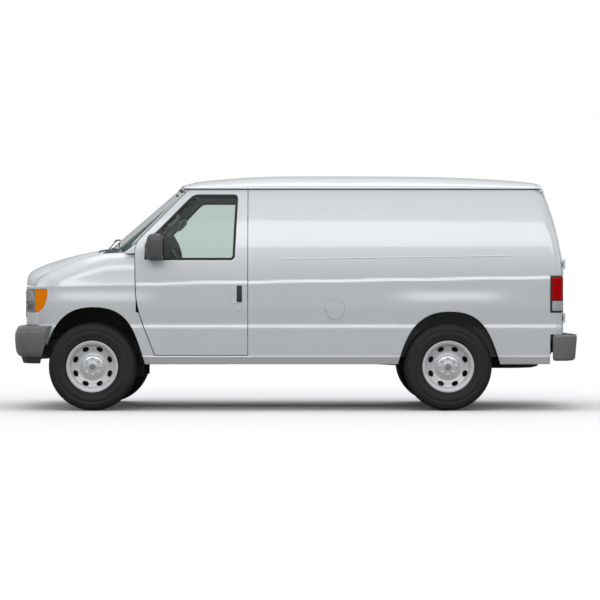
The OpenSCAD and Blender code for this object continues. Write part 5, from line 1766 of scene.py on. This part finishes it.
# ---- the cab ----
@dataclass
class Cab:
    """Seats, dashboard, steering wheel, pedals and linings."""

    seat_y: float = 545
    wheel_at: tuple[float, float, float] = (1049, 400, 1330)
    tilt: float = 34
    wheel_r: float = 195
    voxel: float = 0.010
    pressure: float = 4.0
    stiffness: float = 40
    frames: int = 20
    puff: float = 0.012
    margin: float = 0.008

    def cushion(self, low: Sequence[float], high: Sequence[float], crown: float, lean: float = 0) -> Mesh:
        """A full, crowned cushion.

        Args:
            low: the low corner.
            high: the high corner.
            crown: how far its face swells.
            lean: how far it slopes backwards over half its height.

        Returns:
            The cushion.
        """
        centre, half = (Vector(low) + Vector(high)) / 2, (Vector(high) - Vector(low)) / 2
        bm = bmesh.new()
        bmesh.ops.create_cube(bm, size=2)
        bmesh.ops.subdivide_edges(bm, edges=bm.edges[:], cuts=15, use_grid_fill=True)
        for v in bm.verts:
            a, b, c = v.co
            k = [math.sqrt(max(0.0, 1 - q / 2 - r / 2 + q * r / 3))
                for q, r in ((b * b, c * c), (a * a, c * c), (a * a, b * b))]
            flat = Vector((a, b, c))
            ball = Vector((a * k[0], b * k[1], c * k[2]))
            p = flat.lerp(ball, 0.34)
            dome = ((1 - a * a) * (1 - b * b) * crown if half.z < half.x
                else (1 - c * c) * (1 - b * b) * crown)
            x, y, z = p.x * half.x, p.y * half.y, p.z * half.z
            if half.z < half.x:
                z += dome * (1 if c > 0 else 0.15)
            else:
                x += dome * (1 if a > 0 else -0.3)
            x -= lean * (z / half.z)
            v.co = (centre + Vector((x, y, z))) * MM
        return bm

    def padded(self, name: str, bm: Mesh, replaces: Sequence[str]) -> None:
        """Adds a padded piece: remeshed, inflated as cloth, and applied.

        Args:
            name: the piece's name.
            bm: its form, which is freed.
            replaces: the CAD nodes that it stands for.
        """
        obj = as_object(name, bm)
        cage = [(min(v.co[i] for v in obj.data.vertices), max(v.co[i] for v in obj.data.vertices))
            for i in range(3)]
        bpy.context.view_layer.objects.active = obj
        remesh = obj.modifiers.new("remesh", "REMESH")
        remesh.mode = "VOXEL"
        remesh.voxel_size = self.voxel
        mesh = bpy.data.meshes.new_from_object(obj.evaluated_get(bpy.context.evaluated_depsgraph_get()))
        obj.modifiers.clear()
        obj.data = mesh
        before = [v.co.copy() for v in obj.data.vertices]
        cloth = obj.modifiers.new("cloth", "CLOTH")
        cloth.settings.use_pressure = True
        cloth.settings.uniform_pressure_force = self.pressure
        cloth.settings.effector_weights.gravity = 0.0
        cloth.settings.quality = 5
        cloth.settings.tension_stiffness = self.stiffness
        cloth.settings.compression_stiffness = self.stiffness
        cloth.settings.bending_stiffness = 5
        cloth.collision_settings.use_collision = False
        cloth.point_cache.frame_start, cloth.point_cache.frame_end = 1, self.frames
        scene = bpy.context.scene
        for frame in range(1, self.frames + 1):
            scene.frame_set(frame)
        mesh = bpy.data.meshes.new_from_object(obj.evaluated_get(bpy.context.evaluated_depsgraph_get()))
        obj.modifiers.clear()
        obj.data = mesh
        scene.frame_set(1)
        for v, old in zip(obj.data.vertices, before):
            step = v.co - old
            if step.length > self.puff:
                step = step.normalized() * self.puff
            new = old + step
            v.co = Vector([min(max(new[i], cage[i][0] - self.margin), cage[i][1] + self.margin)
                for i in range(3)])
        obj.data.polygons.foreach_set("use_smooth", [True] * len(obj.data.polygons))
        obj.data.materials.clear()
        obj.data.materials.append(CLOTH.material())
        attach(obj, "van_body")
        if replaces:
            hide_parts(*replaces)

    def build_seats(self) -> None:
        """Both bucket seats with their frames and headrests."""
        x = V.front_axle - 1150
        for left, side in ((True, 1), (False, -1)):
            tag = "left" if left else "right"
            y = side * self.seat_y
            seat = self.cushion((x - 250, y - 235, 975), (x + 262, y + 235, 1100), 14)
            back = self.cushion((x - 340, y - 228, 1060), (x - 205, y + 228, 1565), 10, 62)
            head = self.cushion((x - 362, y - 118, 1605), (x - 268, y + 118, 1775), 6, 6)
            self.padded(f"{tag}_seat_cushion", seat, ("seats",) if left else ())
            self.padded(f"{tag}_seat_back", back, ())
            self.padded(f"{tag}_headrest", head, ())
            posts = [rod((x - 312, y + d, 1530), (x - 312, y + d, 1630), 7, 14) for d in (-70, 70)]
            base = [block((x - 200, y - 200, 690), (x + 200, y + 200, 965), 20, 3),
                block((x - 245, y - 215, 955), (x + 245, y + 215, 1000), 18, 3)]
            lever = rod((x + 40, y + side * 214, 990), (x + 130, y + side * 232, 1000), 7, 12)
            piece(f"{tag}_seat_base", joined(*base), DASH)
            piece(f"{tag}_seat_posts", joined(*posts, lever), PIPE)
            anchor = (x - 250, side * (V.side_y(450, 1750) - 95), 1760)
            belt = wrap(grid_slab(6, 40), lambda u, v, d, a=anchor, side=side: Vector((
                a[0] + mix(-23, 23, u),
                a[1] - side * (2 + 12 * math.sin(v * math.pi) + mix(-0.8, 0.8, d)
                    + 0.5 * math.sin(u * math.tau)),
                mix(1010, 1770, v))))
            loop = block((anchor[0] - 32, anchor[1] - 9, 1752), (anchor[0] + 32, anchor[1] + 9, 1782), 5, 3)
            piece(f"{tag}_belt", joined(belt, loop), RUBBER)

    def build_dash(self) -> None:
        """The dashboard, cluster, glovebox, engine cover and column."""
        f = V.front_axle
        reach = V.plan_half(f - 500) - 118
        outline = rounded([(f - 445, 1040), (f - 445, 1386), (f - 480, 1398), (f - 590, 1402),
            (f - 640, 1392), (f - 690, 1345), (f - 700, 1230), (f - 668, 1080), (f - 640, 1040)], 26)
        top = soften(prism(outline, -reach, reach), 10, 40, 3)
        recess = block((f - 730, 225, 1255), (f - 668, 575, 1375), 22, 4)
        radio = block((f - 725, -150, 1170), (f - 680, 150, 1300), 8, 3)
        glove = block((f - 712, -640, 1120), (f - 680, -240, 1250), 14, 3)
        body = carve(top, recess, radio)
        piece("dash_body", body, DASH, replaces=("dashboard",))
        hood = soften(prism(rounded([(f - 735, 1372), (f - 725, 1404), (f - 600, 1425), (f - 520, 1404),
            (f - 600, 1385)], 12), 205, 595), 6, 40, 3)
        piece("cluster_hood", hood, DASH)
        piece("cluster_face", block((f - 690, 235, 1262), (f - 672, 565, 1370), 8), RUBBER)
        dials = []
        for y, r in ((310, 44), (400, 40), (490, 44)):
            dial = lathe([(0, 0), (r - 4, 0), (r - 2, 3), (r, 3), (r, -2), (0, -2)], (0, 0, 0), 40)
            rotate(dial, math.radians(90), "Z")
            shift(dial, (f - 692, y, 1316))
            dials.append(dial)
        piece("cluster_dials", joined(*dials), MIRROR)
        fronts = [block((f - 708, -140, 1178), (f - 690, 140, 1292), 5)]
        for z in (1200, 1235, 1270):
            for k in range(6):
                fronts.append(block((f - 713, -118 + k * 42, z - 9), (f - 705, -92 + k * 42, z + 9), 2, 2))
        piece("centre_panel", joined(*fronts), MIRROR)
        piece("glovebox", glove, DASH)
        vents = []
        for y in (-700, -200, 200, 700):
            vents += [block((f - 716, y - 48, 1338 + 10 * k), (f - 690, y + 48, 1342 + 10 * k), 1, 1)
                for k in range(4)]
        piece("dash_vents", joined(*vents), TRIM)
        cover = block((f - 975, -225, 692), (f - 445, 225, 1015), 60, 6)
        tray = block((f - 700, -215, 1000), (f - 500, 215, 1075), 24, 4)
        piece("engine_cover", joined(cover, tray), DASH)
        shelf = block((f - 455, -700, 1246), (f - 235, 700, 1392), 20, 3)
        piece("dash_shelf", shelf, DASH)
        pedals = [block((f - 560, y - 30, 770), (f - 545, y + 30, 850), 5)
            for y in (330, 440)] + [block((f - 552, y - 8, 840), (f - 538, y + 8, 1060), 4)
            for y in (330, 440)]
        piece("pedals", joined(*pedals), TRIM)

    def on_column(self, bm: Mesh) -> Mesh:
        """Moves a mesh onto the steering column's axis.

        Args:
            bm: the mesh, made round the Z axis.

        Returns:
            The same mesh.
        """
        rotate(bm, math.radians(self.tilt - 90), "Y")
        shift(bm, self.wheel_at)
        return bm

    def build_wheel(self) -> None:
        """The steering wheel and its column."""
        rim = bmesh.new()
        ring = [rim.verts.new(Vector((self.wheel_r - 14.5 + 13.5 * math.cos(a), 0, 14.5 * math.sin(a)))
            * MM) for a in (i * math.tau / 20 for i in range(20))]
        edges = [rim.edges.new((ring[i - 1], ring[i])) for i in range(20)]
        bmesh.ops.spin(rim, geom=ring + edges, cent=(0, 0, 0), axis=(0, 0, 1), angle=math.tau, steps=72,
            use_merge=True)
        bmesh.ops.recalc_face_normals(rim, faces=rim.faces)
        pad = block((-62, -80, -40), (62, 80, 8), 18, 5)
        parts = [rim, pad]
        for deg in (0, 130, 230):
            spoke = block((-20, -17, -18), (self.wheel_r - 12, 17, -4), 6, 3)
            for v in spoke.verts:
                v.co.z += 0.012 * clamp((v.co.x - 0.05) / 0.13)
            rotate(spoke, math.radians(deg + 180), "Z")
            parts.append(spoke)
        piece("steering_wheel_rim", self.on_column(joined(*parts)), DASH, "steering_wheel",
            replaces=("steering_wheel",), angle=40)
        shroud = block((-45, -48, -300), (45, 48, -55), 22, 4)
        piece("column_shroud", self.on_column(shroud), DASH)
        stalks = [rod((0, 40, -75), (20, 165, -62), 6, 14, 8),
            rod((0, -40, -80), (-25, -150, -40), 5, 14, 8)]
        piece("column_stalks", self.on_column(joined(*stalks)), TRIM)

    def build_trim(self) -> None:
        """Grab handles, sun visors, the inside mirror, the pillar trims, the cab mat, the cargo floor ribs
        and the roof bows.
        """
        foot, head = V.pillar_foot, V.pillar_head
        for left in (True, False):
            flip, side = ((lambda b: b), "left") if left else (flipped, "right")

            def at(t: float, inwards: float, down: float) -> Vector:
                """A place on the surface."""
                x, z = mix(foot[0], head[0], t), mix(foot[1], head[1], t)
                return Vector((x - down * 0.6, V.side_y(x, z) - inwards, z - down))
            path = [at(0.50, 84, 34), at(0.51, 116, 78), at(0.54, 122, 90), at(0.68, 122, 90),
                at(0.71, 116, 78), at(0.72, 84, 34)]
            bars = [rod(a, b, 11, 16) for a, b in zip(path, path[1:])]
            piece(f"{side}_grab_handle", flip(joined(*bars)), INNER)

            def lining(u: float, v: float, d: float) -> Vector:
                """A place on the pillar's inner trim."""
                t = mix(-0.1, 1.0, v)
                x, z = mix(foot[0], head[0], t), mix(foot[1], head[1], t)
                a = Vector((x - 20, V.side_y(x, z) - 70, z - 34))
                b = V.screen(0.975, clamp(t)) + Vector((-30, -18, -36))
                return a.lerp(b, u) - Vector((4, 2, 5)) * d
            piece(f"{side}_pillar_trim", flip(wrap(grid_slab(6, 16), lining)), DASH)
            visor = block((V.front_axle - 905, 190, 1968), (V.front_axle - 745, 640, 1986), 8, 3)
            piece(f"{side}_sun_visor", flip(visor), MIRROR)
        rear_view = joined(block((V.front_axle - 752, -120, 1856), (V.front_axle - 726, 120, 1916), 12, 4),
            rod((V.front_axle - 738, 0, 1900), (V.front_axle - 700, 0, 1980), 7, 14))
        piece("inside_mirror", rear_view, TRIM)
        mat = block((V.door_rear - 60, -770, 691), (V.front_axle - 450, 770, 699), 3, 1)
        carved = carve(mat, block((V.front_axle - 990, -240, 600), (V.front_axle, 240, 800), 0))
        piece("cab_mat", carved, RUBBER)
        ribs = [block((x, -600, 691), (x + 22, 600, 696.5), 2, 1) for x in range(-2180, 300, 88)]
        piece("cargo_floor_ribs", joined(*ribs), FLOOR)
        bows = []
        for x in (-1950, -1400, -850, -300, 250):
            def bow(u: float, v: float, d: float, x: float = x) -> Vector:
                """A place on a roof bow."""
                s = math.sin((u - 0.5) * math.pi * 0.93)
                y = s * (V.roof_half(x) - 60)
                return Vector((x + 70 * (v - 0.5), y, V.roof_z(x, y) - 42 - 26 * d))
            bows.append(wrap(grid_slab(30, 1), bow))
        piece("roof_bows", joined(*bows), INNER)

    def build(self) -> None:
        """The whole cab."""
        for step in (self.build_seats, self.build_dash, self.build_wheel, self.build_trim):
            step()


# ---- below the floor ----
@dataclass
class Underbody:
    """The running gear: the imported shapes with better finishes, and what hangs on them."""

    finishes: dict[str, Finish] = field(default_factory=lambda: {"frame_rails": CHASSIS,
        "nose_frame": CHASSIS, "floor_pan": FLOOR, "engine": IRON, "fuel_tank": CHASSIS, "exhaust": PIPE,
        "rear_axle": CHASSIS, "front_axle": CHASSIS, "left_knuckle": IRON, "right_knuckle": IRON})

    def build_springs(self) -> None:
        """Leaf springs' clips, coil springs and the propeller shaft."""
        parts = []
        for side in (-1, 1):
            coil = []
            for i in range(145):
                a = i / 24 * math.tau
                coil.append(Vector((V.front_axle + 62 * math.cos(a), side * 430 + 62 * math.sin(a),
                    338 + i * 1.1)))
            parts += [rod(p, q, 8, 8) for p, q in zip(coil, coil[1:])]
            for x in (-1700, -1090):
                parts.append(block((x - 12, side * 498 - 42, 440), (x + 12, side * 498 + 42, 452), 2, 1))
        shaft = rod((V.front_axle - 1195, 0, 505), (V.rear_axle + 140, 0, 410), 38, 28)
        joints = [rod((V.front_axle - 1230, 0, 507), (V.front_axle - 1190, 0, 503), 50, 20),
            rod((V.rear_axle + 130, 0, 412), (V.rear_axle + 165, 0, 416), 50, 20)]
        piece("coil_springs", joined(*parts), CHASSIS)
        piece("propeller_shaft", joined(shaft, *joints), CHASSIS)

    def spare(self) -> None:
        """The spare wheel below the rear floor."""
        x, z, bead = V.tail + 505, 470, 222
        profile = [(bead, -80), (bead + 30, -96), (V.tyre_r - 80, -100), (V.tyre_r - 34, -88),
            (V.tyre_r - 25, -66), (V.tyre_r - 25, 66), (V.tyre_r - 34, 88), (V.tyre_r - 80, 100),
            (bead + 30, 96), (bead, 80)]
        tyre = lathe(profile + [profile[0]], (0, 0, 0), 72)
        disc = lathe([(0, -20), (120, -20), (150, -30), (196, -26), (bead - 4, -78), (bead + 6, -88),
            (bead + 6, -82), (bead + 1, -76), (bead - 2, -12), (0, -8)], (0, 0, 0), 64)
        for bm in (tyre, disc):
            rotate(bm, math.radians(90), "X")
            shift(bm, (x, 0, z))
        hoist = rod((x, 0, z - 30), (x, 0, 652), 14, 20)
        piece("spare_tyre", tyre, TYRE, replaces=("spare_wheel",), angle=40)
        piece("spare_disc", joined(disc, hoist), WHEEL, angle=40)

    def build(self) -> None:
        """Assigns the finishes and adds the small parts."""
        for node, finish in self.finishes.items():
            obj = bpy.data.objects.get(node)
            if obj is None:
                LOG.warning("no object for node %s", node)
                continue
            obj.data.materials.clear()
            obj.data.materials.append(finish.material())
        self.build_springs()
        self.spare()


# ---- the studio ----
@dataclass
class Studio:
    """The floor, the lights and the camera, which looks square at the left side."""

    lens: float = 133.2
    eye: tuple[float, float, float] = (-0.045, 21.2, 1.01)
    lamps: tuple[tuple[tuple[float, float, float], tuple[float, float], float],
        ...] = (((0.0, 8.5, 4.5), (15.0, 1.7), 248.0), ((0.0, 1.0, 8.0), (10.0, 5.0), 235.0),
        ((0.0, -8.0, 5.0), (12.0, 2.5), 150.0), ((9.0, 1.0, 3.5), (5.0, 3.0), 40.0),
        ((-9.0, 1.0, 3.5), (5.0, 3.0), 40.0),)
    sky: float = 0.70
    horizon: float = 0.42

    def light_world(self) -> None:
        """A soft sky, brighter overhead, that shows as plain white behind the van."""
        world = bpy.data.worlds.new("studio")
        world.use_nodes = True
        n, link = world.node_tree.nodes, world.node_tree.links.new
        back = n["Background"]
        where, split, height = map(n.new, ("ShaderNodeTexCoord", "ShaderNodeSeparateXYZ",
            "ShaderNodeMapRange"))
        height.inputs["From Min"].default_value = 0.05
        height.inputs["From Max"].default_value = 0.75
        height.inputs["To Min"].default_value = self.horizon
        height.inputs["To Max"].default_value = self.sky
        plain, rays, pick = map(n.new, ("ShaderNodeBackground", "ShaderNodeLightPath",
            "ShaderNodeMixShader"))
        plain.inputs["Color"].default_value = (1, 1, 1, 1)
        back.inputs["Color"].default_value = (0.95, 0.975, 1.0, 1)
        link(where.outputs["Generated"], split.inputs["Vector"])
        link(split.outputs["Z"], height.inputs["Value"])
        link(height.outputs["Result"], back.inputs["Strength"])
        through, either = n.new("ShaderNodeMath"), n.new("ShaderNodeMath")
        through.operation, either.operation = "MULTIPLY_ADD", "MAXIMUM"
        through.inputs[1].default_value, through.inputs[2].default_value = -0.34, 1.0
        link(rays.outputs["Is Transmission Ray"], through.inputs[0])
        link(through.outputs["Value"], plain.inputs["Strength"])
        link(rays.outputs["Is Camera Ray"], either.inputs[0])
        link(rays.outputs["Is Transmission Ray"], either.inputs[1])
        link(either.outputs["Value"], pick.inputs["Fac"])
        link(back.outputs["Background"], pick.inputs[1])
        link(plain.outputs["Background"], pick.inputs[2])
        link(pick.outputs["Shader"], n["World Output"].inputs["Surface"])
        bpy.context.scene.world = world

    def build(self) -> None:
        """Adds the studio to the scene."""
        scene = bpy.context.scene
        scene.view_settings.view_transform = "Standard"
        bm = bmesh.new()
        bmesh.ops.create_grid(bm, x_segments=2, y_segments=2, size=60)
        floor = as_object("studio_floor", bm)
        pale = bpy.data.materials.new("StudioFloor")
        pale.use_nodes = True
        n, link = pale.node_tree.nodes, pale.node_tree.links.new
        shader = n["Principled BSDF"]
        shader.inputs["Base Color"].default_value = (0.93, 0.93, 0.93, 1)
        shader.inputs["Roughness"].default_value = 0.8
        shade, rays, pick = map(n.new, ("ShaderNodeBsdfDiffuse", "ShaderNodeLightPath",
            "ShaderNodeMixShader"))
        shade.inputs["Color"].default_value = (0.26, 0.26, 0.26, 1)
        where, reach, fade = map(n.new, ("ShaderNodeTexCoord", "ShaderNodeVectorMath",
            "ShaderNodeMapRange"))
        reach.operation, fade.interpolation_type = "LENGTH", "SMOOTHSTEP"
        fade.inputs["From Min"].default_value, fade.inputs["From Max"].default_value = 2.6, 5.5
        white, seen = n.new("ShaderNodeEmission"), n.new("ShaderNodeMixShader")
        link(where.outputs["Object"], reach.inputs[0])
        link(reach.outputs["Value"], fade.inputs["Value"])
        link(fade.outputs["Result"], seen.inputs["Fac"])
        link(shader.outputs["BSDF"], seen.inputs[1])
        link(white.outputs["Emission"], seen.inputs[2])
        link(rays.outputs["Is Camera Ray"], pick.inputs["Fac"])
        link(shade.outputs["BSDF"], pick.inputs[1])
        link(seen.outputs["Shader"], pick.inputs[2])
        link(pick.outputs["Shader"], n["Material Output"].inputs["Surface"])
        floor.data.materials.append(pale)
        for i, (spot, size, power) in enumerate(self.lamps):
            data = bpy.data.lights.new(f"softbox_{i}", "AREA")
            data.shape, data.size, data.size_y, data.energy = "RECTANGLE", *size, power
            lamp = bpy.data.objects.new(data.name, data)
            lamp.location = spot
            lamp.rotation_euler = (Vector((spot[0] * 0.3, 0, 1.0)) - Vector(spot)).to_track_quat("-Z",
                "Y").to_euler()
            lamp.visible_camera = False
            lamp.visible_glossy = spot[1] > -4
            scene.collection.objects.link(lamp)
        self.light_world()
        data = bpy.data.cameras.new("camera")
        data.lens, data.sensor_width, data.clip_end = self.lens, 36.0, 200.0
        camera = bpy.data.objects.new("camera", data)
        camera.location = self.eye
        camera.rotation_euler = (math.radians(90), 0, math.radians(180))
        scene.collection.objects.link(camera)
        scene.camera = camera


def main() -> None:
    """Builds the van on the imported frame."""
    logging.basicConfig(level=logging.INFO, format="%(message)s")
    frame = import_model()
    for assembly in (Shell(), Wheels(), Fittings(), Cab(), Underbody(), Studio()):
        assembly.build()


if __name__ == "__main__":
    main()
